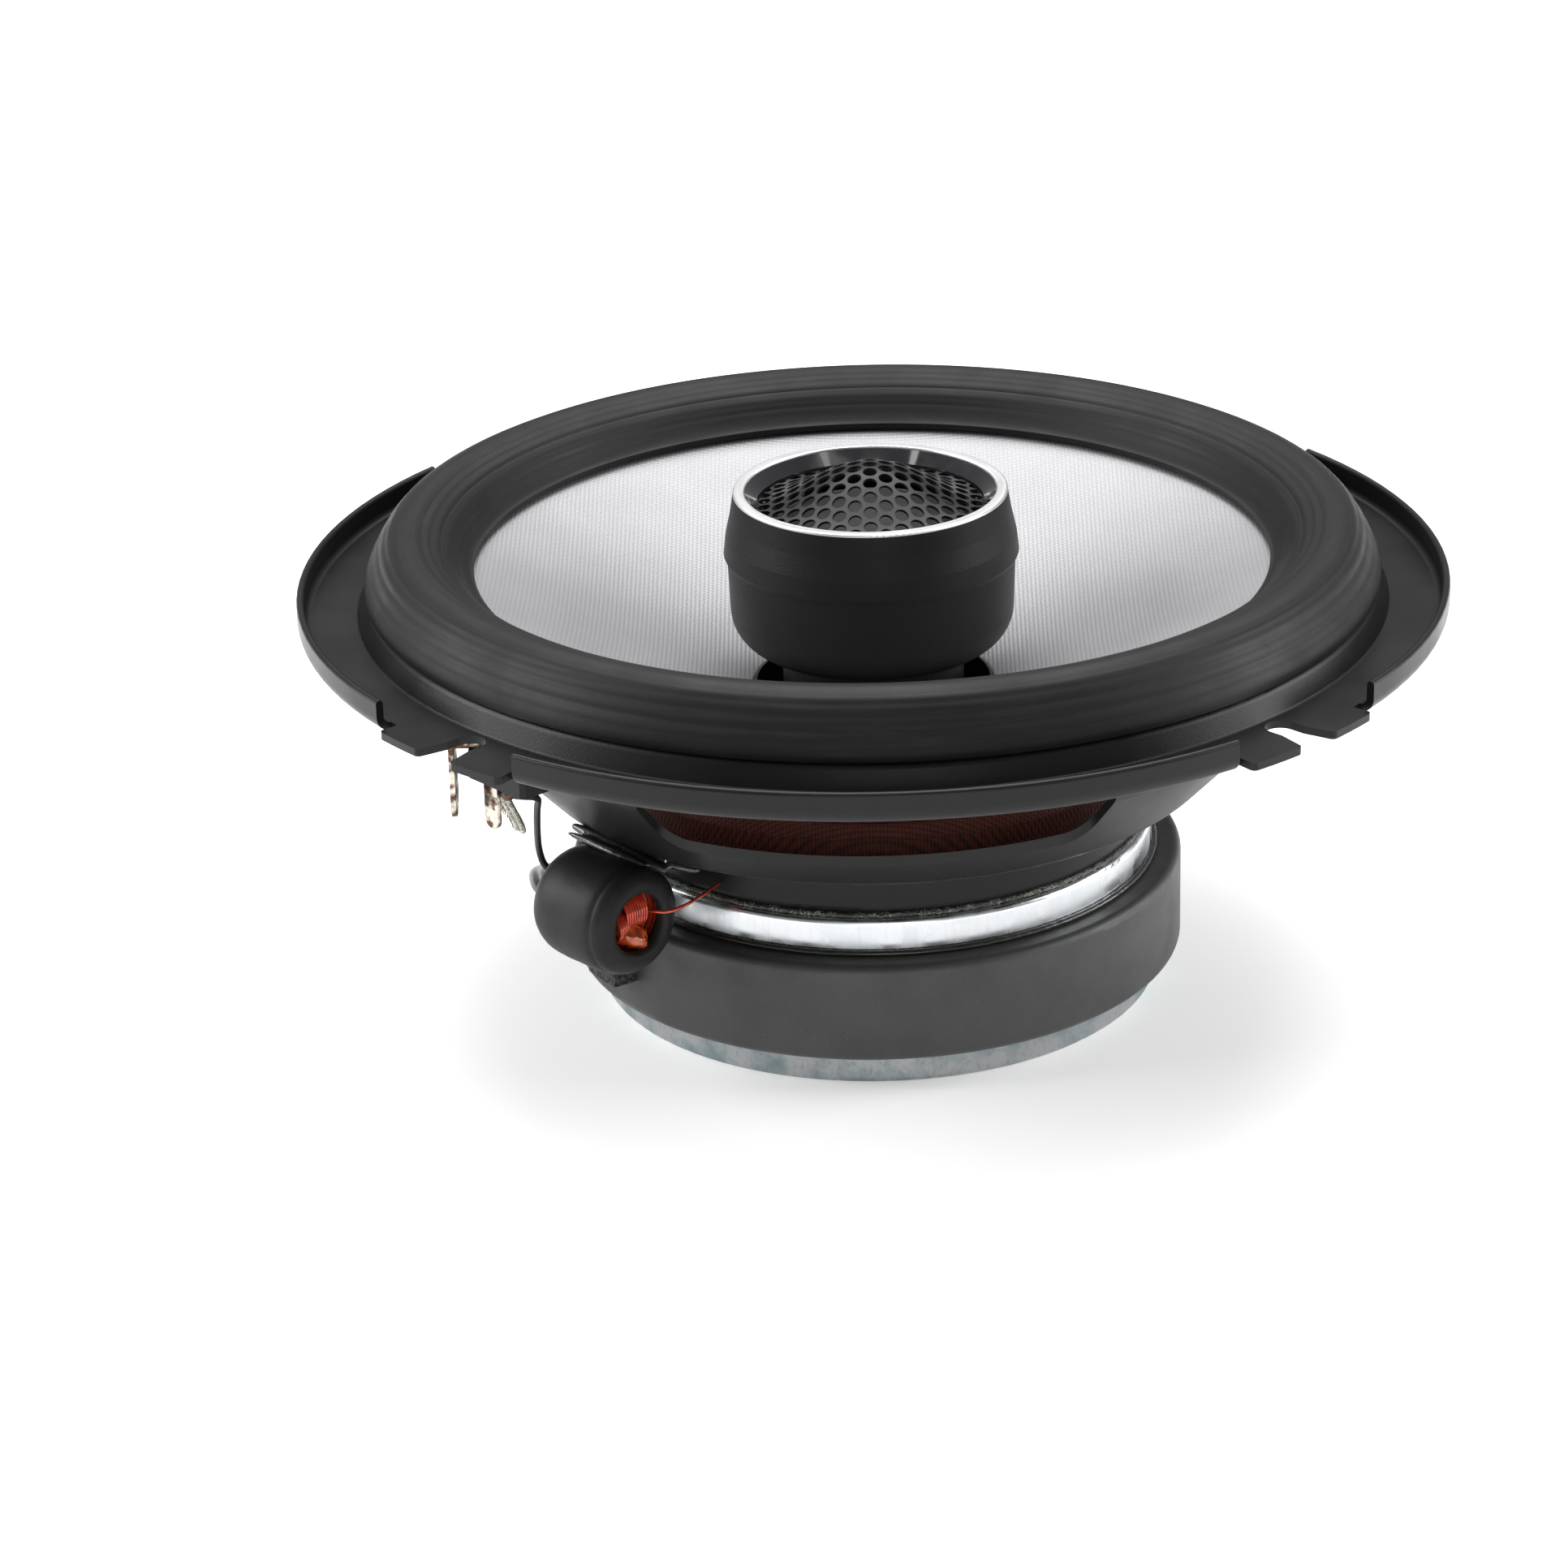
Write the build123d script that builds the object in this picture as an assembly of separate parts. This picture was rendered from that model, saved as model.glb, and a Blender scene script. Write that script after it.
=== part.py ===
from build123d import *
from math import ceil, cos, pi, radians, sin, sqrt, tan
import os

# Coaxial car loudspeaker: a pressed steel basket with a woven cone, a ferrite motor behind it, and a
# dome tweeter on a post in the middle. Millimetres. +Z points out of the front along the speaker's
# axis, and the origin is the centre of the back plate's rear face, which the speaker rests on.
# Azimuth is measured from +X towards +Y.

# ---- driving dimensions ---------------------------------------------------------------------

# motor: yoke, ferrite ring, top plate
BACK_PLATE_RADIUS = 41.0
BACK_PLATE_THICKNESS = 5.0
MAGNET_RADIUS = 44.6
MAGNET_BORE_RADIUS = 22.0
MAGNET_THICKNESS = 14.7
TOP_PLATE_RADIUS = 40.3
TOP_PLATE_THICKNESS = 5.3
POLE_RADIUS = 16.2
POLE_RISE = 0.4                     # pole face above the top plate's face
STEEL_EDGE = 0.9                    # rounding of the plates' outer edges
MAGNET_EDGE = 1.3                   # rounding of the ferrite's outer edges

# basket: pressed sheet, named by the outer face of each feature
SHEET = 1.1
BASKET_BORE_RADIUS = 19.8
CUP_RADIUS = 39.6
CUP_HEIGHT = 8.9                    # top plate's face to the underside of the spider ledge
LEDGE_RADIUS = 48.7
WINDOW_INNER_RADIUS = 54.0
WINDOW_INNER_HEIGHT = 14.5          # above the top plate's face
WINDOW_OUTER_RADIUS = 64.6
WINDOW_HALF_ANGLE = 31.5
WINDOW_CORNER = 3.5
FRAME_ARMS = 4
BOWL_RIM_RADIUS = 66.9
FLANGE_HEIGHT = 33.8                # above the top plate's face, to the mounting face's front
RIM_STEP = 3.6                      # surround ledge above the flange
RIM_RADIUS = 72.6
FLANGE_FOOT_RADIUS = 73.5
FLANGE_RADIUS = 82.5
LIP_HEIGHT = 3.5                    # above the flange's front face
LIP_HALF_ANGLE = 35.4
NOTCH_RADIUS = 80.3
TAB_RADIUS = 83.3
TAB_HALF_ANGLE = 8.4
SLOT_WIDTH = 4.4
SLOT_MOUTH_WIDTH = 6.2
SLOT_INNER_RADIUS = 74.5

# cone assembly
GAP_TO_POLE = 0.7
FORMER_WALL = 0.3
FORMER_LENGTH = 31.4
COIL_BUILD = 0.65
COIL_LENGTH = 12.0
GAP_TO_TOP_PLATE = 0.75
CONE_THICKNESS = 0.6
CONE_RADIUS = 57.0                  # where the surround takes over
CONE_GLUE_WIDTH = 2.4
CONE_DEPTH = 18.1
CONE_COLLAR = 1.6
SURROUND_WALL = 1.0
SURROUND_SETBACK = 0.7              # surround's outer edge inside the basket's rim
SPIDER_THICKNESS = 0.6
SPIDER_RIM_MARGIN = 1.6              # glued rim inside the ledge's outer bend
SPIDER_RIM_WIDTH = 4.4
SPIDER_RISE = 2.6                   # corrugations' middle above the glued rim
SPIDER_PITCH = 5.0
SPIDER_AMPLITUDE = 1.2

# tweeter pod
POST_RADIUS = 13.1
POD_UNDERSIDE = 51.0                # above the back plate's rear face
CUP_FLOOR = 4.0
POD_CUP_RADIUS = 20.2
POD_CUP_TOP_RADIUS = 20.7
POD_CUP_HEIGHT = 13.4
POD_WALL = 1.8
POD_BELLY_RADIUS = 21.2
POD_SHELL_HEIGHT = 9.6
SHELL_SPIGOT = 3.0
SHELL_WALL = 1.2
RING_RADIUS = 19.65
RING_WIDTH = 1.6
RING_HEIGHT = 0.4
BEZEL_MOUTH_RADIUS = 16.35
GRILLE_THICKNESS = 0.5
GRILLE_RADIUS = 15.3
GRILLE_RISE = 6.0
GRILLE_HOLE_RADIUS = 0.95
GRILLE_PITCH = 2.5
TWEETER_COIL_RADIUS = 12.2
TWEETER_COIL_BUILD = 0.5
TWEETER_GAP = 0.4
TWEETER_DOME_RISE = 4.0
TWEETER_CUP_WALL = 1.7
FACEPLATE_THICKNESS = 2.2
SCREW_RADIUS = 2.0
SCREW_HEAD_RADIUS = 3.8
SCREW_HEAD_HEIGHT = 2.9
SCREW_RECESS = 0.5

# crossover parts and terminals
INDUCTOR_AZIMUTH = -136.0
INDUCTOR_OFFSET = 8.6               # its axis outside the magnet's side
INDUCTOR_RADIUS = 8.2
INDUCTOR_LENGTH = 17.6
INDUCTOR_DROP = 7.9                 # its axis under the spider ledge
SLEEVE_WALL = 0.8
SLEEVE_MOUTH_RADIUS = 4.1
CORE_RADIUS = 2.5
FOAM_WIDTH = 7.0
FOAM_HEIGHT = 10.5
FOAM_BOTTOM = 10.5
FOAM_THICKNESS = 3.6
FOAM_TURN = -9.5                    # its azimuth from the inductor's
CAPACITOR_RADIUS = 4.2
CAPACITOR_LENGTH = 18.0
BLOCK_AZIMUTH = -137.0
BLOCK_RADIUS = 68.2
BLOCK_LENGTH = 5.2
BLOCK_WIDTH = 12.0
BLOCK_HEIGHT = 4.0
BLOCK_DROP = 4.3                    # its top under the flange's rear face
BLADE_THICKNESS = 0.8
POSITIVE_WIDTH = 4.8
POSITIVE_LENGTH = 10.8
POSITIVE_FOOT = 5.2
NEGATIVE_WIDTH = 2.8
NEGATIVE_LENGTH = 8.2
NEGATIVE_INSET = 0.6                # inward of the block's middle
NEGATIVE_SHIFT = 4.6                # along the block
RIVET_RADIUS = 0.9
RIVET_HEAD = 0.4
RIVET_SPACING = 6.0
RIVET_OFFSET = 0.8                  # outward from the block's middle
LEAD_DUCT_RADIUS = 2.4
LEAD_DUCT_OFFSET = 7.9
LEAD_AZIMUTH = 150.0
LEAD_GROOVE_WIDTH = 2.8
LEAD_GROOVE_DEPTH = 3.4
TWEETER_LEAD_RADIUS = 0.95
TINSEL_RADIUS = 0.45
INPUT_LEAD_RADIUS = 0.5
COPPER_LEAD_RADIUS = 0.35

# clearances
FIT = 0.1                           # slip fit between moulded parts

# ---- derived levels and radii ---------------------------------------------------------------

MAGNET_BASE = BACK_PLATE_THICKNESS
MAGNET_TOP = MAGNET_BASE + MAGNET_THICKNESS
PLATE_TOP = MAGNET_TOP + TOP_PLATE_THICKNESS
POLE_TOP = PLATE_TOP + POLE_RISE
LEDGE_UNDERSIDE = PLATE_TOP + CUP_HEIGHT
LEDGE_TOP = LEDGE_UNDERSIDE + SHEET
FLANGE_TOP = PLATE_TOP + FLANGE_HEIGHT
FLANGE_UNDERSIDE = FLANGE_TOP - SHEET
RIM_TOP = FLANGE_TOP + RIM_STEP
SURROUND_RADIUS = RIM_RADIUS - SURROUND_SETBACK
FORMER_INNER = POLE_RADIUS + GAP_TO_POLE
FORMER_OUTER = FORMER_INNER + FORMER_WALL
COIL_OUTER = FORMER_OUTER + COIL_BUILD
TOP_PLATE_BORE = COIL_OUTER + GAP_TO_TOP_PLATE
COIL_BOTTOM = PLATE_TOP - (TOP_PLATE_THICKNESS + COIL_LENGTH) / 2
CONE_RIM_TOP = RIM_TOP + 0.6
CONE_NECK = CONE_RIM_TOP - CONE_DEPTH
FORMER_TOP = CONE_NECK + 0.4
FORMER_BOTTOM = FORMER_TOP - FORMER_LENGTH
SPIDER_RIM_RADIUS = LEDGE_RADIUS - SPIDER_RIM_MARGIN
SPIDER_RIM_LEVEL = LEDGE_TOP + SPIDER_THICKNESS / 2
POD_FLOOR = POD_UNDERSIDE + CUP_FLOOR
POD_SEAM = POD_UNDERSIDE + POD_CUP_HEIGHT
POD_CUP_BORE = POD_CUP_TOP_RADIUS - POD_WALL
SPIGOT_RADIUS = POD_CUP_BORE - FIT
SHELL_BORE = SPIGOT_RADIUS - SHELL_WALL
SHELL_TOP = POD_SEAM + POD_SHELL_HEIGHT
FACEPLATE_BASE = POD_SEAM + 1.6
FACEPLATE_TOP = FACEPLATE_BASE + FACEPLATE_THICKNESS
TRIM_SEAT_RADIUS = SPIGOT_RADIUS - 0.3
BEZEL_RADIUS = TRIM_SEAT_RADIUS - FIT
GRILLE_SEAT = SHELL_TOP - 2.4
TWEETER_POLE_RADIUS = TWEETER_COIL_RADIUS - TWEETER_GAP
TWEETER_CUP_BORE = TWEETER_COIL_RADIUS + TWEETER_COIL_BUILD + TWEETER_GAP + 0.1
TWEETER_CUP_RADIUS = TWEETER_CUP_BORE + TWEETER_CUP_WALL
TWEETER_CUP_FLOOR = 3.0
TWEETER_PLATE_THICKNESS = 3.0
TWEETER_PLATE_TOP = FACEPLATE_BASE - 0.5
DOME_FOOT = FACEPLATE_TOP + 0.7
INDUCTOR_PLACE_RADIUS = MAGNET_RADIUS + INDUCTOR_OFFSET
INDUCTOR_LEVEL = LEDGE_UNDERSIDE - INDUCTOR_DROP
CAPACITOR_BASE = POLE_TOP + 2.0
LEAD_RUN_LEVEL = POD_FLOOR - 1.3
BLOCK_TOP = FLANGE_UNDERSIDE - BLOCK_DROP
BLOCK_BOTTOM = BLOCK_TOP - BLOCK_HEIGHT
POSITIVE_BEND = Vector(-58.3, -41.2, BLOCK_TOP)


# ---- helpers --------------------------------------------------------------------------------

def polar(radius, azimuth, z=0.0):
    """A point from its distance to the axis, azimuth and height."""
    return Vector(radius * cos(radians(azimuth)), radius * sin(radians(azimuth)), z)


def ring(inner, outer, bottom, top):
    """A plain ring about the axis."""
    face = Circle(outer) - Circle(inner)
    return Pos(0, 0, bottom) * extrude(face, top - bottom)


def disc(outer, bottom, top):
    """A plain disc on the axis."""
    return Pos(0, 0, bottom) * extrude(Circle(outer), top - bottom)


def turned(points):
    """A solid of revolution from a closed outline of (radius, height) points."""
    return revolve(Plane.XZ * make_face(Polyline(*points, close=True)), axis=Axis.Z)


def turned_sheet(middle_line, bends, thickness):
    """A sheet of even thickness turned about the axis, from its middle line and bend radii."""
    line = FilletPolyline(*middle_line, radius=bends)
    section = make_face(offset(line, amount=thickness / 2, side=Side.BOTH))
    return revolve(Plane.XZ * section, axis=Axis.Z)


def sector(inner, outer, half_angle, centre):
    """A flat annular sector in plan, centred on an azimuth."""
    edges = [
        CenterArc((0, 0), outer, centre - half_angle, 2 * half_angle),
        CenterArc((0, 0), inner, centre - half_angle, 2 * half_angle),
        Line(polar(inner, centre - half_angle), polar(outer, centre - half_angle)),
        Line(polar(inner, centre + half_angle), polar(outer, centre + half_angle)),
    ]
    return make_face(edges)


def wedge(half_angle, centre, outer, bottom, top):
    """A pie slice that reaches the axis, for keeping part of a turned solid."""
    return Pos(0, 0, bottom) * extrude(sector(1.0, outer, half_angle, centre), top - bottom)


def at_azimuth(radius, azimuth, z):
    """A plane at a place beside the axis, its x outward and its z up."""
    return Plane(origin=polar(radius, azimuth, z), x_dir=polar(1, azimuth), z_dir=(0, 0, 1))


def lead(points, radius, tight=()):
    """A round wire: straight runs joined by arcs as large as they allow, after any tight first ones."""
    runs = [after - before for before, after in zip(points, points[1:])]
    bends = list(tight)
    for before, after in list(zip(runs, runs[1:]))[len(tight):]:
        half_turn = radians(before.get_angle(after)) / 2
        bends.append(0.45 * min(before.length, after.length) / tan(half_turn))
    path = FilletPolyline(*points, radius=bends)
    start = Plane(origin=path @ 0, z_dir=path % 0)
    wire = sweep(start * Circle(radius), path=path)
    print("wire", round(path.length, 1), "mm long, bends", [round(bend, 1) for bend in bends],
          "volume ratio", round(wire.volume / (path.length * pi * radius ** 2), 4))
    return wire


# ---- motor ----------------------------------------------------------------------------------

def make_yoke():
    """Back plate and pole in one forging, with the screw hole and the tweeter leads' groove."""
    plate = disc(BACK_PLATE_RADIUS, 0, BACK_PLATE_THICKNESS)
    plate = fillet(plate.edges().group_by(Axis.Z)[0], STEEL_EDGE)
    yoke = plate + disc(POLE_RADIUS, 0, POLE_TOP)
    yoke -= disc(SCREW_RADIUS + FIT, 0, POLE_TOP)
    yoke -= disc(SCREW_HEAD_RADIUS + FIT, 0, SCREW_RECESS + SCREW_HEAD_HEIGHT)
    duct = at_azimuth(LEAD_DUCT_OFFSET, LEAD_AZIMUTH, 0)
    yoke -= duct * extrude(Circle(LEAD_DUCT_RADIUS), POLE_TOP)
    inward_low = (Align.MIN, Align.CENTER, Align.MIN)
    return yoke - duct * Box(BACK_PLATE_RADIUS, LEAD_GROOVE_WIDTH, LEAD_GROOVE_DEPTH, align=inward_low)


def make_magnet():
    """Ferrite ring with ground faces and rounded outer edges."""
    magnet = ring(MAGNET_BORE_RADIUS, MAGNET_RADIUS, MAGNET_BASE, MAGNET_TOP)
    outer_edges = magnet.edges().filter_by(GeomType.CIRCLE).sort_by(SortBy.RADIUS)[-2:]
    return fillet(outer_edges, MAGNET_EDGE)


def make_top_plate():
    """Zinc plated steel ring around the voice coil gap."""
    plate = ring(TOP_PLATE_BORE, TOP_PLATE_RADIUS, MAGNET_TOP, PLATE_TOP)
    outer_edges = plate.edges().filter_by(GeomType.CIRCLE).sort_by(SortBy.RADIUS)[-2:]
    return fillet(outer_edges, STEEL_EDGE)


def make_glue_beads(top_plate, basket_shell):
    """Adhesive squeezed out of the three joints of the motor."""
    yoke_bead = turned([
        (BACK_PLATE_RADIUS, MAGNET_BASE), (BACK_PLATE_RADIUS + 1.3, MAGNET_BASE),
        (BACK_PLATE_RADIUS, MAGNET_BASE - 1.1)])
    groove = at_azimuth(BACK_PLATE_RADIUS, LEAD_AZIMUTH, 0)
    yoke_bead -= groove * Box(8, LEAD_GROOVE_WIDTH, 2 * MAGNET_BASE + 1)
    magnet_bead = turned([
        (TOP_PLATE_RADIUS - STEEL_EDGE, MAGNET_TOP), (TOP_PLATE_RADIUS + 1.4, MAGNET_TOP),
        (TOP_PLATE_RADIUS, MAGNET_TOP + STEEL_EDGE), (TOP_PLATE_RADIUS - STEEL_EDGE, MAGNET_TOP + 0.5)])
    plate_bead = turned([
        (CUP_RADIUS - 1.6, PLATE_TOP), (CUP_RADIUS - 0.3, PLATE_TOP),
        (CUP_RADIUS + 0.1, PLATE_TOP + 1.5), (CUP_RADIUS - 1.0, PLATE_TOP + 1.5)])
    return yoke_bead, magnet_bead - top_plate, plate_bead - basket_shell


# ---- basket ---------------------------------------------------------------------------------

def make_basket_shell():
    """The pressing before its windows, notches and slots are cut."""
    half = SHEET / 2
    window_level = PLATE_TOP + WINDOW_INNER_HEIGHT
    middle_line = [
        (BASKET_BORE_RADIUS + half, PLATE_TOP + half),
        (CUP_RADIUS - half, PLATE_TOP + half),
        (CUP_RADIUS, LEDGE_UNDERSIDE + half),
        (LEDGE_RADIUS, LEDGE_UNDERSIDE + half),
        (WINDOW_INNER_RADIUS, window_level + half),
        (WINDOW_INNER_RADIUS + 0.72 * (BOWL_RIM_RADIUS - WINDOW_INNER_RADIUS), FLANGE_UNDERSIDE - 7.6),
        (BOWL_RIM_RADIUS - half, RIM_TOP - half),
        (RIM_RADIUS - half, RIM_TOP - half),
        (FLANGE_FOOT_RADIUS, FLANGE_TOP - half),
        (FLANGE_RADIUS - half, FLANGE_TOP - half),
        (FLANGE_RADIUS - half, FLANGE_TOP + LIP_HEIGHT - half)]
    bends = [1.3, 1.8, 3.0, 6.0, 12.0, 1.2, 0.9, 0.9, 1.5]
    return turned_sheet(middle_line, bends, SHEET)


def make_slot(azimuth):
    """Plan of one open-ended screw slot with a round inner end and a flared mouth."""
    half = SLOT_WIDTH / 2
    end = SLOT_INNER_RADIUS + half
    throat = Pos(end, 0) * Circle(half) + Pos(end + 10, 0) * Rectangle(20, SLOT_WIDTH)
    mouth = make_face(Polyline(
        (NOTCH_RADIUS - 1.5, half), (TAB_RADIUS + 1, SLOT_MOUTH_WIDTH / 2 + 0.4),
        (TAB_RADIUS + 1, -SLOT_MOUTH_WIDTH / 2 - 0.4), (NOTCH_RADIUS - 1.5, -half), close=True))
    return Rot(0, 0, azimuth) * (throat + mouth)


def make_basket(shell):
    """Basket with four windows, and between its four lips a slotted pair of flat tabs."""
    basket = shell
    quarter = 360 / FRAME_ARMS
    flange_depth = SHEET + LIP_HEIGHT + 1
    for arm in range(FRAME_ARMS):
        window = sector(WINDOW_INNER_RADIUS, WINDOW_OUTER_RADIUS, WINDOW_HALF_ANGLE, arm * quarter)
        window = fillet(window.vertices(), WINDOW_CORNER)
        basket -= Pos(0, 0, LEDGE_TOP) * extrude(window, RIM_TOP - SHEET - 1 - LEDGE_TOP)
        azimuth = (arm + 0.5) * quarter
        gap = sector(NOTCH_RADIUS, TAB_RADIUS + 1, quarter / 2 - LIP_HALF_ANGLE, azimuth)
        basket -= Pos(0, 0, FLANGE_UNDERSIDE - 0.5) * extrude(gap, flange_depth)
        slot = make_slot(azimuth)
        tab = sector(NOTCH_RADIUS - 2, TAB_RADIUS, TAB_HALF_ANGLE, azimuth) - slot
        tab = fillet([corner for corner in tab.vertices() if Vector(corner).length > TAB_RADIUS - 0.5], 0.8)
        basket += Pos(0, 0, FLANGE_UNDERSIDE) * extrude(tab, SHEET)
        basket -= Pos(0, 0, FLANGE_UNDERSIDE - 0.5) * extrude(slot, flange_depth)
    return basket


# ---- cone assembly, surround and spider -----------------------------------------------------

def make_cone():
    """Woven cone with a collar glued to the former and a flat rim glued to the surround."""
    half = CONE_THICKNESS / 2
    middle_line = [
        (FORMER_OUTER + half, CONE_NECK - CONE_COLLAR + half),
        (FORMER_OUTER + half, CONE_NECK - half),
        (CONE_RADIUS, CONE_RIM_TOP - half),
        (CONE_RADIUS + CONE_GLUE_WIDTH, CONE_RIM_TOP - half)]
    return turned_sheet(middle_line, [0.6, 1.2], CONE_THICKNESS)


def make_former():
    return ring(FORMER_INNER, FORMER_OUTER, FORMER_BOTTOM, FORMER_TOP)


def make_coil():
    return ring(FORMER_OUTER, COIL_OUTER, COIL_BOTTOM, COIL_BOTTOM + COIL_LENGTH)


def make_surround():
    """Rubber half-roll: glued inside to the cone's rim and outside to the basket's raised rim."""
    inner = CONE_RADIUS + 0.2
    glue = CONE_RADIUS + CONE_GLUE_WIDTH
    outer = SURROUND_RADIUS
    wall = SURROUND_WALL
    return turned([
        (outer, RIM_TOP), (outer, RIM_TOP + wall), (outer - 1.8, RIM_TOP + 4.9),
        (outer - 3.5, RIM_TOP + 6.9), (outer - 5.5, RIM_TOP + 7.6), (outer - 7.7, RIM_TOP + 6.9),
        (outer - 9.9, RIM_TOP + 5.7), (outer - 11.9, RIM_TOP + 3.6), (glue - 0.8, CONE_RIM_TOP + 1.0),
        (inner, CONE_RIM_TOP + 0.6), (inner, CONE_RIM_TOP), (glue, CONE_RIM_TOP),
        (outer - 11.1, RIM_TOP + 2.9), (outer - 9.1, RIM_TOP + 4.8), (outer - 7.1, RIM_TOP + 5.9),
        (outer - 5.5, RIM_TOP + 6.5), (outer - 4.3, RIM_TOP + 6.0), (outer - 2.9, RIM_TOP + 4.2),
        (outer - 1.9, RIM_TOP + 1.9), (outer - 2.1, RIM_TOP + wall), (outer - 3.3, RIM_TOP + wall),
        (outer - 3.3, RIM_TOP)])


def make_gasket():
    """Bead of glue that closes the outer edge of the surround against the basket's rim."""
    inner = SURROUND_RADIUS
    return turned([
        (inner, RIM_TOP), (inner + 0.35, RIM_TOP), (inner + 0.3, RIM_TOP + 0.5), (inner, RIM_TOP + 0.8)])


def make_spider():
    """Corrugated cloth that centres the voice coil, glued to the former and the basket's ledge."""
    half = SPIDER_THICKNESS / 2
    collar = FORMER_OUTER + half
    middle = SPIDER_RIM_LEVEL + SPIDER_RISE
    last = SPIDER_RIM_RADIUS - SPIDER_RIM_WIDTH
    line = [(collar, middle + 1.6), (collar, middle)]
    waves = ceil((last - collar) / SPIDER_PITCH) - 1
    pitch = (last - collar) / (waves + 0.5)
    for wave in range(waves):
        line.append((collar + pitch * (wave + 0.5), middle + SPIDER_AMPLITUDE))
        line.append((collar + pitch * (wave + 1.0), middle - SPIDER_AMPLITUDE))
    line.append((last - pitch / 4, middle))
    line.append((last, SPIDER_RIM_LEVEL))
    line.append((SPIDER_RIM_RADIUS - half, SPIDER_RIM_LEVEL))
    return turned_sheet(line, [0.5] * (len(line) - 2), SPIDER_THICKNESS)


# ---- tweeter pod ----------------------------------------------------------------------------

def lead_duct(bottom, top):
    duct = extrude(Circle(LEAD_DUCT_RADIUS), top - bottom)
    return at_azimuth(LEAD_DUCT_OFFSET, LEAD_AZIMUTH, bottom) * duct


def make_post():
    """Post that stands on the pole and carries the tweeter through the cone's neck."""
    post = disc(POST_RADIUS, POLE_TOP, POD_UNDERSIDE)
    post -= disc(SCREW_RADIUS + FIT, POLE_TOP, POD_UNDERSIDE)
    pocket = extrude(Circle(CAPACITOR_RADIUS + 2 * FIT), CAPACITOR_LENGTH + 1)
    post -= at_azimuth(LEAD_DUCT_OFFSET, LEAD_AZIMUTH, CAPACITOR_BASE - 0.5) * pocket
    return post - lead_duct(POLE_TOP, POD_UNDERSIDE)


def make_post_screw():
    """Long screw from behind that clamps the post between the pole and the pod."""
    head = disc(SCREW_HEAD_RADIUS, SCREW_RECESS, SCREW_RECESS + SCREW_HEAD_HEIGHT)
    shank = disc(SCREW_RADIUS, SCREW_RECESS, POD_FLOOR - 0.5)
    for turn in (0, 90):
        head -= Pos(0, 0, SCREW_RECESS) * Rot(0, 0, turn) * Box(4.4, 1.0, 2.4)
        shank -= Pos(0, 0, SCREW_RECESS) * Rot(0, 0, turn) * Box(4.4, 1.0, 2.4)
    return head + shank


def make_pod_cup():
    """Moulded cup under the tweeter, rounded down to the post."""
    outline = FilletPolyline(
        (SCREW_RADIUS, POD_UNDERSIDE), (POD_CUP_RADIUS, POD_UNDERSIDE), (POD_CUP_TOP_RADIUS, POD_SEAM),
        radius=[5.8])
    inside = Polyline(
        (POD_CUP_TOP_RADIUS, POD_SEAM), (POD_CUP_BORE, POD_SEAM), (POD_CUP_BORE, POD_FLOOR + 1.5),
        (POD_CUP_BORE - 1.5, POD_FLOOR), (SCREW_RADIUS, POD_FLOOR), (SCREW_RADIUS, POD_UNDERSIDE))
    cup = revolve(Plane.XZ * make_face(outline.edges() + inside.edges()), axis=Axis.Z)
    groove_depth = 2.6
    groove = Box(10.3, LEAD_GROOVE_WIDTH, groove_depth, align=(Align.MIN, Align.CENTER, Align.MAX))
    cup -= at_azimuth(LEAD_DUCT_OFFSET, LEAD_AZIMUTH, POD_FLOOR) * groove
    return cup - lead_duct(POD_UNDERSIDE, POD_FLOOR)


def make_pod_shell():
    """Flared moulding over the cup, with a spigot inside it and a seat for the faceplate."""
    return turned([
        (SHELL_BORE, POD_SEAM - SHELL_SPIGOT), (SPIGOT_RADIUS, POD_SEAM - SHELL_SPIGOT),
        (SPIGOT_RADIUS, POD_SEAM), (POD_BELLY_RADIUS - 0.3, POD_SEAM),
        (POD_BELLY_RADIUS, POD_SEAM + 0.7), (POD_BELLY_RADIUS - 0.3, POD_SEAM + 3.3),
        (POD_BELLY_RADIUS - 1.0, POD_SEAM + 6.4), (RING_RADIUS, SHELL_TOP),
        (TRIM_SEAT_RADIUS, SHELL_TOP), (TRIM_SEAT_RADIUS, FACEPLATE_BASE), (SHELL_BORE, FACEPLATE_BASE)])


def make_trim_ring():
    """Bright plated ring on the front edge of the pod."""
    trim = ring(RING_RADIUS - RING_WIDTH, RING_RADIUS, SHELL_TOP, SHELL_TOP + RING_HEIGHT)
    return fillet(trim.edges().group_by(Axis.Z)[-1], 0.6 * RING_HEIGHT)


def make_bezel():
    """Glossy funnel between the trim ring and the grille."""
    throat = BEZEL_RADIUS - 1.4
    return turned([
        (throat, FACEPLATE_TOP), (BEZEL_RADIUS, FACEPLATE_TOP), (BEZEL_RADIUS, SHELL_TOP),
        (RING_RADIUS - RING_WIDTH, SHELL_TOP), (BEZEL_MOUTH_RADIUS, GRILLE_SEAT + 0.8),
        (BEZEL_MOUTH_RADIUS, GRILLE_SEAT), (GRILLE_RADIUS, GRILLE_SEAT),
        (GRILLE_RADIUS, GRILLE_SEAT - 0.7), (throat, GRILLE_SEAT - 0.7)])


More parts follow.
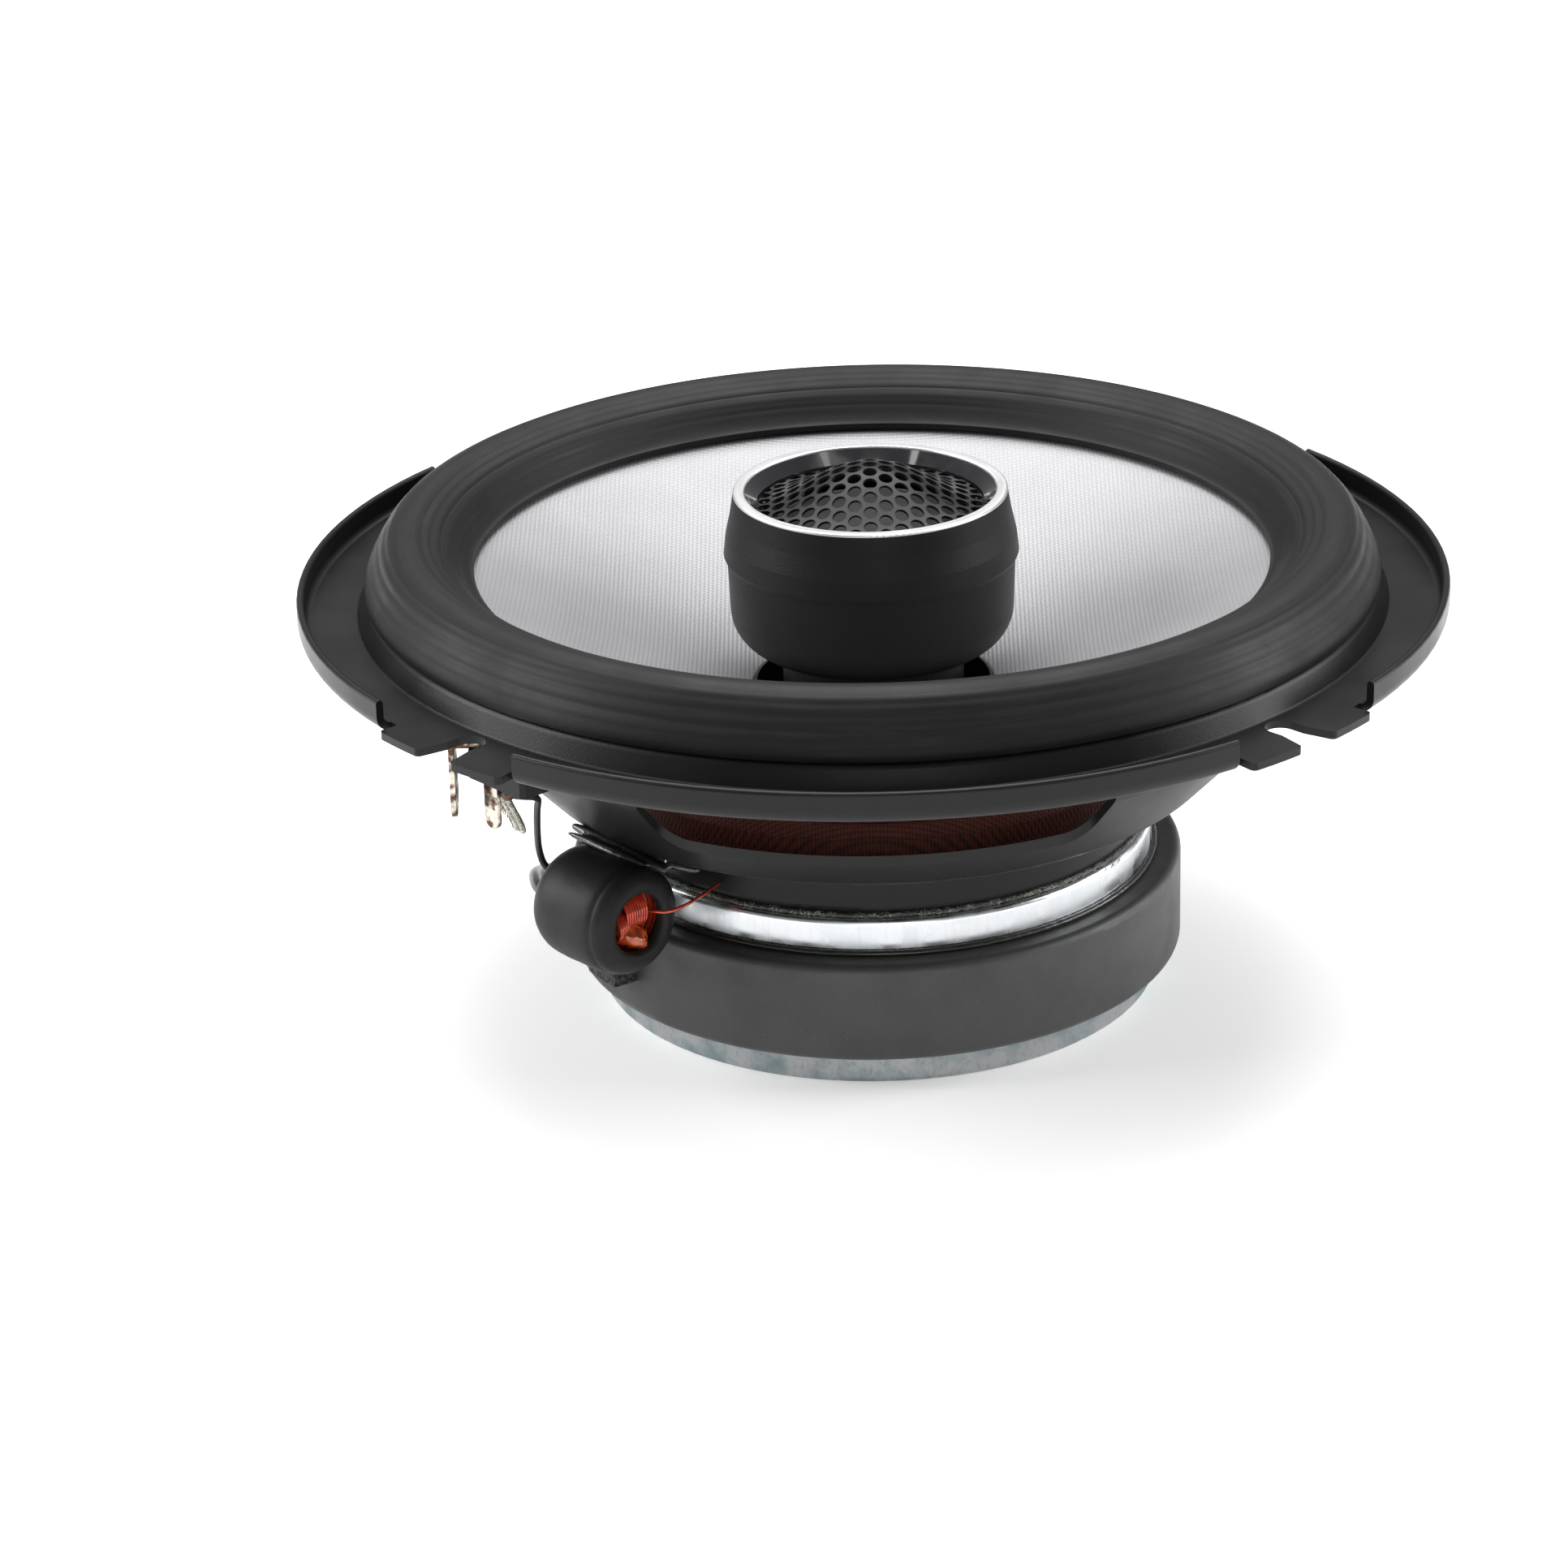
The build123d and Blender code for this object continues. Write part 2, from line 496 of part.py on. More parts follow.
def make_grille():
    """Perforated steel dome with a flat rim, its round holes on a triangular grid."""
    seat = GRILLE_SEAT
    outer = BEZEL_MOUTH_RADIUS - FIT
    dome_radius = (GRILLE_RADIUS ** 2 + GRILLE_RISE ** 2) / (2 * GRILLE_RISE)
    centre = seat + GRILLE_RISE - dome_radius
    dome = Sphere(dome_radius + GRILLE_THICKNESS) - Sphere(dome_radius)
    dome = Pos(0, 0, centre) * dome
    dome &= disc(GRILLE_RADIUS, seat, seat + 2 * GRILLE_RISE)
    count = ceil(GRILLE_RADIUS / GRILLE_PITCH) + 1
    column_step = GRILLE_PITCH * sqrt(3) / 2
    places = []
    for column in range(-count, count + 1):
        shift = GRILLE_PITCH / 2 if column % 2 else 0
        for row in range(-count, count + 1):
            place = Vector(column * column_step, row * GRILLE_PITCH + shift, 0)
            if place.length < GRILLE_RADIUS - GRILLE_HOLE_RADIUS - 0.6:
                places.append((place.X, place.Y))
    holes = Sketch() + [Pos(x, y) * Circle(GRILLE_HOLE_RADIUS) for x, y in places]
    holes = Pos(0, 0, seat) * extrude(holes, 2 * GRILLE_RISE)
    rim = ring(GRILLE_RADIUS - 0.6, outer, seat, seat + GRILLE_THICKNESS)
    return (dome - holes) + rim


def make_tweeter_cup():
    """Steel cup of the tweeter's motor."""
    cup = disc(TWEETER_CUP_RADIUS, POD_FLOOR, FACEPLATE_BASE)
    cup = chamfer(cup.edges().group_by(Axis.Z)[0], 0.8)
    return cup - disc(TWEETER_CUP_BORE, POD_FLOOR + TWEETER_CUP_FLOOR, FACEPLATE_BASE)


def make_tweeter_magnet():
    bottom = POD_FLOOR + TWEETER_CUP_FLOOR
    return disc(TWEETER_POLE_RADIUS - 0.6, bottom, TWEETER_PLATE_TOP - TWEETER_PLATE_THICKNESS)


def make_tweeter_pole_plate():
    return disc(TWEETER_POLE_RADIUS, TWEETER_PLATE_TOP - TWEETER_PLATE_THICKNESS, TWEETER_PLATE_TOP)


def make_faceplate():
    """Ring that closes the tweeter's motor and carries the edge of its dome."""
    return ring(TWEETER_CUP_BORE + 0.3, BEZEL_RADIUS, FACEPLATE_BASE, FACEPLATE_TOP)


def make_tweeter_edge():
    """Flexible edge of the dome: a small half-roll between the dome's foot and the faceplate."""
    foot = TWEETER_COIL_RADIUS + 0.7
    glued = TWEETER_CUP_BORE + 0.9
    return turned([
        (foot, DOME_FOOT), (foot + 0.5, DOME_FOOT + 0.9), (glued, DOME_FOOT + 0.8),
        (glued + 0.6, FACEPLATE_TOP + 0.3), (glued + 1.8, FACEPLATE_TOP + 0.3), (glued + 1.8, FACEPLATE_TOP),
        (glued + 0.3, FACEPLATE_TOP), (glued - 0.3, DOME_FOOT + 0.4), (foot + 0.7, DOME_FOOT + 0.5),
        (foot + 0.3, DOME_FOOT - 0.1), (foot, DOME_FOOT - 0.2)])


def make_tweeter_dome():
    """Thin dome whose skirt is the tweeter's coil former."""
    foot = TWEETER_COIL_RADIUS + 0.3
    skin = 0.3
    radius = (foot ** 2 + TWEETER_DOME_RISE ** 2) / (2 * TWEETER_DOME_RISE)
    centre = DOME_FOOT + TWEETER_DOME_RISE - radius
    dome = Pos(0, 0, centre) * (Sphere(radius) - Sphere(radius - skin))
    dome &= disc(foot, DOME_FOOT - 0.5, DOME_FOOT + 2 * TWEETER_DOME_RISE)
    skirt = ring(TWEETER_COIL_RADIUS, foot, DOME_FOOT - 5.0, DOME_FOOT + 0.2)
    return dome + skirt


def make_tweeter_coil():
    inner = TWEETER_COIL_RADIUS + 0.3
    return ring(inner, inner + 0.2, DOME_FOOT - 5.0, DOME_FOOT - 2.6)


# ---- crossover parts ------------------------------------------------------------------------

def lying_plane(radius, azimuth, level):
    """A plane whose z lies level, across the radius, at a place under the basket."""
    return Plane(origin=polar(radius, azimuth, level), x_dir=(0, 0, 1), z_dir=polar(1, azimuth + 90))


def inductor_plane():
    return lying_plane(INDUCTOR_PLACE_RADIUS, INDUCTOR_AZIMUTH, INDUCTOR_LEVEL)


def make_inductor():
    """Copper winding on a ferrite rod inside a shrunk sleeve that is open at both ends."""
    plane = inductor_plane()
    inside = INDUCTOR_LENGTH - 2 * SLEEVE_WALL
    sleeve = Cylinder(INDUCTOR_RADIUS, INDUCTOR_LENGTH)
    sleeve = fillet(sleeve.edges().filter_by(GeomType.CIRCLE), 1.6)
    sleeve -= Cylinder(INDUCTOR_RADIUS - SLEEVE_WALL, inside)
    sleeve -= Cylinder(SLEEVE_MOUTH_RADIUS, INDUCTOR_LENGTH + 1)
    winding = Cylinder(INDUCTOR_RADIUS - SLEEVE_WALL, inside)
    winding = fillet(winding.edges().filter_by(GeomType.CIRCLE), 0.8)
    winding -= Cylinder(CORE_RADIUS, inside)
    core = Cylinder(CORE_RADIUS, inside)
    return plane * sleeve, plane * winding, plane * core


def make_capacitor():
    """Tweeter's series capacitor, standing in a pocket in the post."""
    body = Cylinder(CAPACITOR_RADIUS, CAPACITOR_LENGTH, align=(Align.CENTER, Align.CENTER, Align.MIN))
    body = fillet(body.edges().filter_by(GeomType.CIRCLE), 0.6)
    return at_azimuth(LEAD_DUCT_OFFSET, LEAD_AZIMUTH, CAPACITOR_BASE) * body


def make_glue_bed(radius, azimuth, level, part_radius, half_angle):
    """Hot glue between the basket's ledge and a round part that hangs under it."""
    bed = turned([
        (CUP_RADIUS + 3.4, LEDGE_UNDERSIDE), (LEDGE_RADIUS - 1.6, LEDGE_UNDERSIDE),
        (radius, level + part_radius / 3), (radius - part_radius * 0.8, level + part_radius / 3)])
    bed &= wedge(half_angle, azimuth, BOWL_RIM_RADIUS, level - 1, LEDGE_UNDERSIDE + 1)
    return bed - lying_plane(radius, azimuth, level) * Cylinder(part_radius, 4 * part_radius)


def make_foam_pad():
    """Foam block that stops the inductor rattling against the magnet."""
    pad = Box(4 * FOAM_THICKNESS, FOAM_WIDTH, FOAM_HEIGHT, align=(Align.CENTER, Align.CENTER, Align.MIN))
    pad = at_azimuth(MAGNET_RADIUS, INDUCTOR_AZIMUTH + FOAM_TURN, FOAM_BOTTOM) * pad
    pad &= ring(MAGNET_RADIUS, MAGNET_RADIUS + FOAM_THICKNESS, FOAM_BOTTOM, FOAM_BOTTOM + FOAM_HEIGHT)
    return pad - inductor_plane() * Cylinder(INDUCTOR_RADIUS, 3 * INDUCTOR_LENGTH)


# ---- terminals ------------------------------------------------------------------------------

def block_plane(z):
    return at_azimuth(BLOCK_RADIUS, BLOCK_AZIMUTH, z)


def make_terminal_block():
    """Moulded block that carries both blades under one gap in the flange."""
    block = Box(BLOCK_LENGTH, BLOCK_WIDTH, BLOCK_HEIGHT, align=(Align.CENTER, Align.CENTER, Align.MIN))
    return block_plane(BLOCK_BOTTOM) * chamfer(block.edges().filter_by(Axis.Z), 0.6)


def make_rivets():
    """Two tubular rivets that hang the block from the flange."""
    upright = (Align.CENTER, Align.CENTER, Align.MIN)
    rivet = Cylinder(RIVET_RADIUS, BLOCK_DROP, align=upright)
    rivet += Cylinder(1.5 * RIVET_RADIUS, RIVET_HEAD, align=upright)
    sides = (-RIVET_SPACING / 2, RIVET_SPACING / 2)
    return Compound(children=[block_plane(BLOCK_TOP) * Pos(RIVET_OFFSET, side, 0) * rivet for side in sides])


def blade_outline(width, length):
    """A spade hanging down from the origin, with a rounded end."""
    end = width * 0.45
    face = Pos(0, -length / 2) * Rectangle(width, length)
    lower = face.vertices().sort_by(Axis.Y)[:2]
    return fillet(lower, end)


def make_positive():
    """Wide spade: a foot on the block's top that bends down beside it."""
    inward_up = (Align.MIN, Align.CENTER, Align.MIN)
    foot = Pos(POSITIVE_BEND) * Box(POSITIVE_FOOT, POSITIVE_WIDTH, BLADE_THICKNESS, align=inward_up)
    top = POSITIVE_BEND + Vector(0, 0, BLADE_THICKNESS)
    side = Plane(origin=top, x_dir=(0, 1, 0), z_dir=(1, 0, 0))
    blade = side * extrude(blade_outline(POSITIVE_WIDTH, POSITIVE_LENGTH + BLADE_THICKNESS), BLADE_THICKNESS)
    return foot + blade


def make_negative():
    """Narrow spade that hangs from the underside of the block."""
    outline = blade_outline(NEGATIVE_WIDTH, NEGATIVE_LENGTH)
    across = polar(-NEGATIVE_SHIFT, BLOCK_AZIMUTH + 90)
    origin = polar(BLOCK_RADIUS - NEGATIVE_INSET, BLOCK_AZIMUTH, BLOCK_BOTTOM) + across
    side = Plane(origin=origin, x_dir=polar(1, BLOCK_AZIMUTH + 90), z_dir=polar(1, BLOCK_AZIMUTH))
    return side * extrude(outline, BLADE_THICKNESS / 2, both=True)


# ---- wires, along their real routes ---------------------------------------------------------

NEGATIVE_SIDE = Vector(-51.4, -43.8, BLOCK_BOTTOM - 2.6)
SOLDER_RADIUS = 0.95

# braided leads: from the block, down past the inductor, through the left window to the former
TINSEL_ROUTE = [
    Vector(-50.9, -42.3, BLOCK_BOTTOM), Vector(-50.9, -42.3, 46.4), Vector(-50.4, -38.0, 42.2),
    Vector(-49.6, -33.0, 37.6), Vector(-49.6, -28.0, 33.6), Vector(-52.0, -23.0, 35.0),
    Vector(-55.3, -19.0, 41.0), Vector(-51.5, -15.0, 46.0), Vector(-42.0, -11.0, 47.0),
    Vector(-30.0, -7.0, 45.0)]
TINSEL_SHIFT = Vector(-0.89, 0.95, 0)
TINSEL_ENDS = (-168.0, -173.0)      # azimuths where they meet the former
TINSEL_END_LEVEL = 41.9

# insulated lead: from the negative blade round to the inductor's near end
INPUT_ROUTE = [
    NEGATIVE_SIDE, Vector(-48.9, -44.2, 46.4), Vector(-46.2, -42.4, 45.6), Vector(-46.9, -37.8, 42.0),
    Vector(-47.4, -33.0, 36.5), Vector(-47.7, -28.6, 31.6), Vector(-46.9, -28.0, 28.2),
    Vector(-43.9, -31.1, 27.2)]

# enamelled lead: out of the inductor's far end to the foot of the basket
COPPER_ROUTE = [
    Vector(-31.7, -41.7, 27.8), Vector(-29.6, -43.4, 28.0), Vector(-26.6, -41.8, 28.5),
    Vector(-24.2, -37.8, 28.4), Vector(-22.2, -33.5, 28.0)]

# tweeter's pair: down the post and pole, along the yoke's groove, and round to the inductor
YOKE_EXIT = polar(MAGNET_RADIUS + 2.0, LEAD_AZIMUTH, 1.2)
TWEETER_ROUTE = [
    polar(LEAD_DUCT_OFFSET, LEAD_AZIMUTH, CAPACITOR_BASE), polar(LEAD_DUCT_OFFSET, LEAD_AZIMUTH, 1.2),
    YOKE_EXIT, Vector(-43.8, 17.0, 6.5), Vector(-46.8, 9.0, 11.5), Vector(-48.4, 0.5, 15.5),
    Vector(-49.2, -8.0, 19.0), Vector(-49.4, -16.0, 22.0), Vector(-48.2, -24.5, 23.6),
    Vector(-44.1, -30.9, 24.6)]


def make_tinsel_leads():
    """Two braided leads side by side, each with its own place on the former."""
    leads = []
    for shift, azimuth in zip((Vector(0, 0, 0), TINSEL_SHIFT), TINSEL_ENDS):
        end = polar(FORMER_OUTER + 0.1, azimuth, TINSEL_END_LEVEL)
        leads.append(lead([point + shift for point in TINSEL_ROUTE] + [end], TINSEL_RADIUS))
    return Compound(children=leads)


def make_tweeter_inner_lead():
    """From the capacitor's top, out over the pod's floor and up beside the tweeter's motor."""
    beside = TWEETER_CUP_RADIUS + TWEETER_LEAD_RADIUS + 0.25
    points = [
        polar(LEAD_DUCT_OFFSET, LEAD_AZIMUTH, CAPACITOR_BASE + CAPACITOR_LENGTH),
        polar(LEAD_DUCT_OFFSET, LEAD_AZIMUTH, LEAD_RUN_LEVEL),
        polar(beside, LEAD_AZIMUTH, LEAD_RUN_LEVEL),
        polar(beside, LEAD_AZIMUTH, FACEPLATE_BASE)]
    return lead(points, TWEETER_LEAD_RADIUS, tight=(2.0, 2.0))


def make_solder_joint():
    """Blob of solder where the insulated lead meets the narrow blade."""
    return Pos(NEGATIVE_SIDE + Vector(SOLDER_RADIUS + 0.1, -0.15, -0.1)) * Sphere(SOLDER_RADIUS)


# ---- the whole speaker ----------------------------------------------------------------------

basket_shell = make_basket_shell()
top_plate = make_top_plate()
yoke_adhesive, magnet_adhesive, plate_adhesive = make_glue_beads(top_plate, basket_shell)
sleeve, winding, core = make_inductor()

nodes = {
    "yoke": make_yoke(),
    "magnet": make_magnet(),
    "top_plate": top_plate,
    "yoke_adhesive": yoke_adhesive,
    "magnet_adhesive": magnet_adhesive,
    "plate_adhesive": plate_adhesive,
    "basket": make_basket(basket_shell),
    "surround_gasket": make_gasket(),
    "surround": make_surround(),
    "spider": make_spider(),
    "cone": make_cone(),
    "voice_coil_former": make_former(),
    "voice_coil": make_coil(),
    "tweeter_post": make_post(),
    "post_screw": make_post_screw(),
    "pod_cup": make_pod_cup(),
    "pod_shell": make_pod_shell(),
    "trim_ring": make_trim_ring(),
    "bezel": make_bezel(),
    "tweeter_grille": make_grille(),
    "tweeter_faceplate": make_faceplate(),
    "tweeter_cup": make_tweeter_cup(),
    "tweeter_magnet": make_tweeter_magnet(),
    "tweeter_pole_plate": make_tweeter_pole_plate(),
    "tweeter_edge": make_tweeter_edge(),
    "tweeter_dome": make_tweeter_dome(),
    "tweeter_coil": make_tweeter_coil(),
    "capacitor": make_capacitor(),
    "inductor_sleeve": sleeve,
    "inductor_winding": winding,
    "inductor_core": core,
    "inductor_adhesive": make_glue_bed(
        INDUCTOR_PLACE_RADIUS, INDUCTOR_AZIMUTH, INDUCTOR_LEVEL, INDUCTOR_RADIUS, 9),
    "foam_pad": make_foam_pad(),
    "terminal_block": make_terminal_block(),
    "terminal_rivets": make_rivets(),
    "positive_terminal": make_positive(),
    "negative_terminal": make_negative(),
    "solder_joint": make_solder_joint(),
    "input_lead": lead(INPUT_ROUTE, INPUT_LEAD_RADIUS),
    "inductor_lead": lead(COPPER_ROUTE, COPPER_LEAD_RADIUS),
    "tweeter_lead": lead(TWEETER_ROUTE, TWEETER_LEAD_RADIUS, tight=(2.0, 3.0)),
    "tweeter_inner_lead": make_tweeter_inner_lead(),
    "tinsel_leads": make_tinsel_leads(),
}

os.makedirs("parts", exist_ok=True)
for name, shape in nodes.items():
    export_step(shape, f"parts/{name}.step")
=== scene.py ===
from math import cos, pi, radians, sin

import bmesh
import bpy
from mathutils import Matrix, Vector, noise
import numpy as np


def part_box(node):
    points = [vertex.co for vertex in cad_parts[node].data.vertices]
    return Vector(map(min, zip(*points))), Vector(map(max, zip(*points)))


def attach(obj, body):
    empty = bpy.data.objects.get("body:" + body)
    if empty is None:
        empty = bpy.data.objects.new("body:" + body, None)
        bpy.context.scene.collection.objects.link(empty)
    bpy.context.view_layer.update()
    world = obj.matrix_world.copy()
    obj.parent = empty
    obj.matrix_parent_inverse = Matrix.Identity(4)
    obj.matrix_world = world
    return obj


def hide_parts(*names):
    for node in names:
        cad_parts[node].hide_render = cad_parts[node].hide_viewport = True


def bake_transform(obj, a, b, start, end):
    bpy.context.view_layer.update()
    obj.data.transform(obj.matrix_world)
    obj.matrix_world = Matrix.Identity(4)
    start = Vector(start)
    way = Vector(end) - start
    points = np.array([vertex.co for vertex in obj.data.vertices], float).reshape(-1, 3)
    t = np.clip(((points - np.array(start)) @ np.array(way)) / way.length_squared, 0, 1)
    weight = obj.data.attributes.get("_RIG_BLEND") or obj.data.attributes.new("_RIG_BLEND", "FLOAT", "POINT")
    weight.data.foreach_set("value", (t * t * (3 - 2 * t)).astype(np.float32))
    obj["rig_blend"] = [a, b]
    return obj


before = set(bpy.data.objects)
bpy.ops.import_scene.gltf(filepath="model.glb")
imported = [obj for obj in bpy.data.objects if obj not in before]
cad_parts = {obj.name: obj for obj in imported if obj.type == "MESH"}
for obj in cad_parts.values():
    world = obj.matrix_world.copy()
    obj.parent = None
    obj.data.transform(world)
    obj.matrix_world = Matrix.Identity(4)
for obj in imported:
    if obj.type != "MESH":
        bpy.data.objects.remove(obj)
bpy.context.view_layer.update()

bl_info = {
    "name": "Coaxial Speaker Looks",
    "version": (1, 0, 0),
    "blender": (4, 5, 0),
    "location": "View3D > Sidebar > Speaker",
    "description": "Finishes and fine shapes of a coaxial car loudspeaker around its CAD frame",
    "category": "Object",
}

MM = 0.001


def radius_of(node):
    """Outer radius of a round CAD node, in metres."""
    low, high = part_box(node)
    return (high.x - low.x) / 2


def bottom_of(node):
    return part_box(node)[0].z


# ---- sizes and colours a user would change -----------------------------------------------------

def length(name, description, millimetres, low=0.0):
    return bpy.props.FloatProperty(
        name=name, description=description, default=millimetres * MM, min=low, unit="LENGTH", precision=5)


def colour(name, description, rgb):
    return bpy.props.FloatVectorProperty(
        name=name, description=description, default=(*rgb, 1.0), size=4, min=0.0, max=1.0, subtype="COLOR")


def share(name, description, value):
    return bpy.props.FloatProperty(
        name=name, description=description, default=value, min=0.0, max=1.0, subtype="FACTOR")


def number(name, description, value):
    return bpy.props.IntProperty(name=name, description=description, default=value, min=1)


class SPEAKER_PG_motor(bpy.types.PropertyGroup):
    zinc: colour("Zinc", "Colour of the plated plates", (0.72, 0.74, 0.76))
    ferrite: colour("Ferrite", "Colour of the magnet", (0.04, 0.04, 0.041))
    glue: colour("Glue", "Colour of the squeezed-out motor glue", (0.16, 0.17, 0.14))
    bead: length("Bead", "Radius of the glue beads", 0.42)
    ragged: length("Raggedness", "How far the glue's edge wanders", 0.35)


class SPEAKER_PG_basket(bpy.types.PropertyGroup):
    paint: colour("Paint", "Colour of the satin paint", (0.007, 0.007, 0.0073))
    roughness: share("Roughness", "Roughness of the satin paint", 0.36)
    grain: length("Grain", "Size of the paint's orange peel", 0.28)


class SPEAKER_PG_surround(bpy.types.PropertyGroup):
    rubber: colour("Rubber", "Colour of the surround", (0.0085, 0.0085, 0.0088))
    wall: length("Wall", "Thickness of the rubber", 0.9)
    rib: length("Rib", "Height of the moulded ribs", 0.07)
    glue: colour("Glue", "Colour of the glossy edge glue", (0.012, 0.012, 0.013))
    segments: number("Segments", "Steps round the surround", 288)


class SPEAKER_PG_cone(bpy.types.PropertyGroup):
    yarn: colour("Yarn", "Colour of the metallised yarn", (0.38, 0.38, 0.392))
    shade: colour("Shade", "Colour between the yarns", (0.2, 0.2, 0.21))
    pitch: length("Pitch", "Distance between yarns", 0.62)
    sheen: share("Sheen", "How metallic the yarn looks", 0.35)


class SPEAKER_PG_spider(bpy.types.PropertyGroup):
    yarn: colour("Yarn", "Colour of the resin-stiffened cloth", (0.21, 0.042, 0.022))
    shade: colour("Shade", "Colour between the yarns", (0.035, 0.013, 0.008))
    pitch: length("Pitch", "Distance between yarns", 0.5)


class SPEAKER_PG_pod(bpy.types.PropertyGroup):
    moulding: colour("Moulding", "Colour of the pod's plastic", (0.006, 0.006, 0.0063))
    gloss: colour("Gloss", "Colour of the bezel", (0.012, 0.012, 0.014))
    chrome: colour("Chrome", "Colour of the trim ring", (0.86, 0.86, 0.87))


class SPEAKER_PG_grille(bpy.types.PropertyGroup):
    steel: colour("Paint", "Colour of the grille's paint", (0.012, 0.012, 0.013))
    pitch: length("Pitch", "Distance between holes", 2.5)
    hole: length("Hole Radius", "Radius of each hole", 0.98)
    rise: length("Rise", "Height of the dome", 5.9)
    flare: bpy.props.FloatProperty(name="Flare", description="How bell-shaped the skirt is", default=2.0, min=1.0)
    gauge: length("Gauge", "Thickness of the sheet", 0.4)


class SPEAKER_PG_inductor(bpy.types.PropertyGroup):
    enamel: colour("Enamel", "Colour of the wire's enamel", (0.56, 0.05, 0.015))
    resin: colour("Resin", "Colour of the amber glue", (0.5, 0.075, 0.012))
    sleeve: colour("Sleeve", "Colour of the shrunk sleeve", (0.009, 0.009, 0.0093))
    wire: length("Wire", "Radius of the wound wire", 0.3)
    turns: number("Turns", "Turns in a layer", 22)
    layers: number("Layers", "Layers of wire", 4)


class SPEAKER_PG_terminals(bpy.types.PropertyGroup):
    tin: colour("Tin", "Colour of the tinned blade", (0.62, 0.58, 0.5))
    brass: colour("Brass", "Colour where the tin has gone", (0.11, 0.055, 0.035))
    bevel: length("Bevel", "Rounding of the blades' edges", 0.12)


class SPEAKER_PG_leads(bpy.types.PropertyGroup):
    braid: colour("Braid", "Colour of the braided leads", (0.66, 0.63, 0.55))
    jacket: colour("Jacket", "Colour of the insulated leads", (0.014, 0.014, 0.014))
    strands: number("Strands", "Strands in each braided lead", 7)
    strand: length("Strand", "Radius of one strand", 0.15)


class SPEAKER_PG_stage(bpy.types.PropertyGroup):
    floor: colour("Floor", "Colour of the floor", (0.93, 0.93, 0.93))
    reach: length("Reach", "Distance of the camera from the middle of the speaker", 708.8)


SETTINGS = {
    "speaker_motor": SPEAKER_PG_motor,
    "speaker_basket": SPEAKER_PG_basket,
    "speaker_surround": SPEAKER_PG_surround,
    "speaker_cone": SPEAKER_PG_cone,
    "speaker_spider": SPEAKER_PG_spider,
    "speaker_pod": SPEAKER_PG_pod,
    "speaker_grille": SPEAKER_PG_grille,
    "speaker_inductor": SPEAKER_PG_inductor,
    "speaker_terminals": SPEAKER_PG_terminals,
    "speaker_leads": SPEAKER_PG_leads,
    "speaker_stage": SPEAKER_PG_stage,
}


# ---- node trees --------------------------------------------------------------------------------

class Signal:
    """A node's output in its tree. Arithmetic on it adds Math nodes."""

    def __init__(self, tree, socket):
        self.tree = tree
        self.socket = socket

    def math(self, operation, *values):
        return node(self.tree, "ShaderNodeMath", dict(enumerate((self, *values))), operation=operation)

    def __add__(self, other):
        return self.math("ADD", other)

    def __sub__(self, other):
        return self.math("SUBTRACT", other)

    def __rsub__(self, other):
        return node(self.tree, "ShaderNodeMath", {0: other, 1: self}, operation="SUBTRACT")

    def __mul__(self, other):
        return self.math("MULTIPLY", other)

    def __truediv__(self, other):
        return self.math("DIVIDE", other)

    def __rtruediv__(self, other):
        return node(self.tree, "ShaderNodeMath", {0: other, 1: self}, operation="DIVIDE")


def connect(tree, socket, value):
    """Links an input to a signal, or sets it to a value."""
    if isinstance(value, Signal):
        tree.links.new(value.socket, socket)
    else:
        socket.default_value = value


def add(tree, kind, inputs=None, **settings):
    """A node with its settings and its inputs."""
    made = tree.nodes.new(kind)
    for name, value in settings.items():
        setattr(made, name, value)
    for key, value in (inputs or {}).items():
        connect(tree, made.inputs[key], value)
    return made


def node(tree, kind, inputs=None, output=0, **settings):
    """The signal of a new node's output."""
    return Signal(tree, add(tree, kind, inputs, **settings).outputs[output])


def signals(tree, sockets):
    return {socket.name: Signal(tree, socket) for socket in sockets}


def separated(tree, vector):
    """A vector's X, Y and Z."""
    return signals(tree, add(tree, "ShaderNodeSeparateXYZ", {0: vector}).outputs).values()


def group_tree(kind, name, inputs, outputs):
    """An empty node group, the signals it is given, and its output sockets."""
    tree = bpy.data.node_groups.new(name, kind)
    for socket, socket_type, default in inputs:
        made = tree.interface.new_socket(socket, in_out="INPUT", socket_type=socket_type)
        if default is not None:
            made.default_value = default
    for socket, socket_type in outputs:
        tree.interface.new_socket(socket, in_out="OUTPUT", socket_type=socket_type)
    given = signals(tree, tree.nodes.new("NodeGroupInput").outputs)
    return tree, given, tree.nodes.new("NodeGroupOutput").inputs


def give(tree, out, **results):
    """Links a group's results to its output sockets."""
    for name, value in results.items():
        connect(tree, out[name], value)
    return tree


def effect(name):
    """A shader group by name, built the first time it is asked for."""
    return bpy.data.node_groups.get(name) or EFFECTS[name](name)


def effect_tree(name, inputs, *outputs):
    """An empty shader group that reads a vector."""
    sockets = [("Vector", "NodeSocketVector", None), *inputs]
    return group_tree("ShaderNodeTree", name, sockets, [(output, "NodeSocketFloat") for output in outputs])


def texture(tree, vector, size, detail):
    """Noise whose features are about a size across."""
    return node(tree, "ShaderNodeTexNoise", {"Vector": vector, "Scale": 1.0 / size, "Detail": detail})


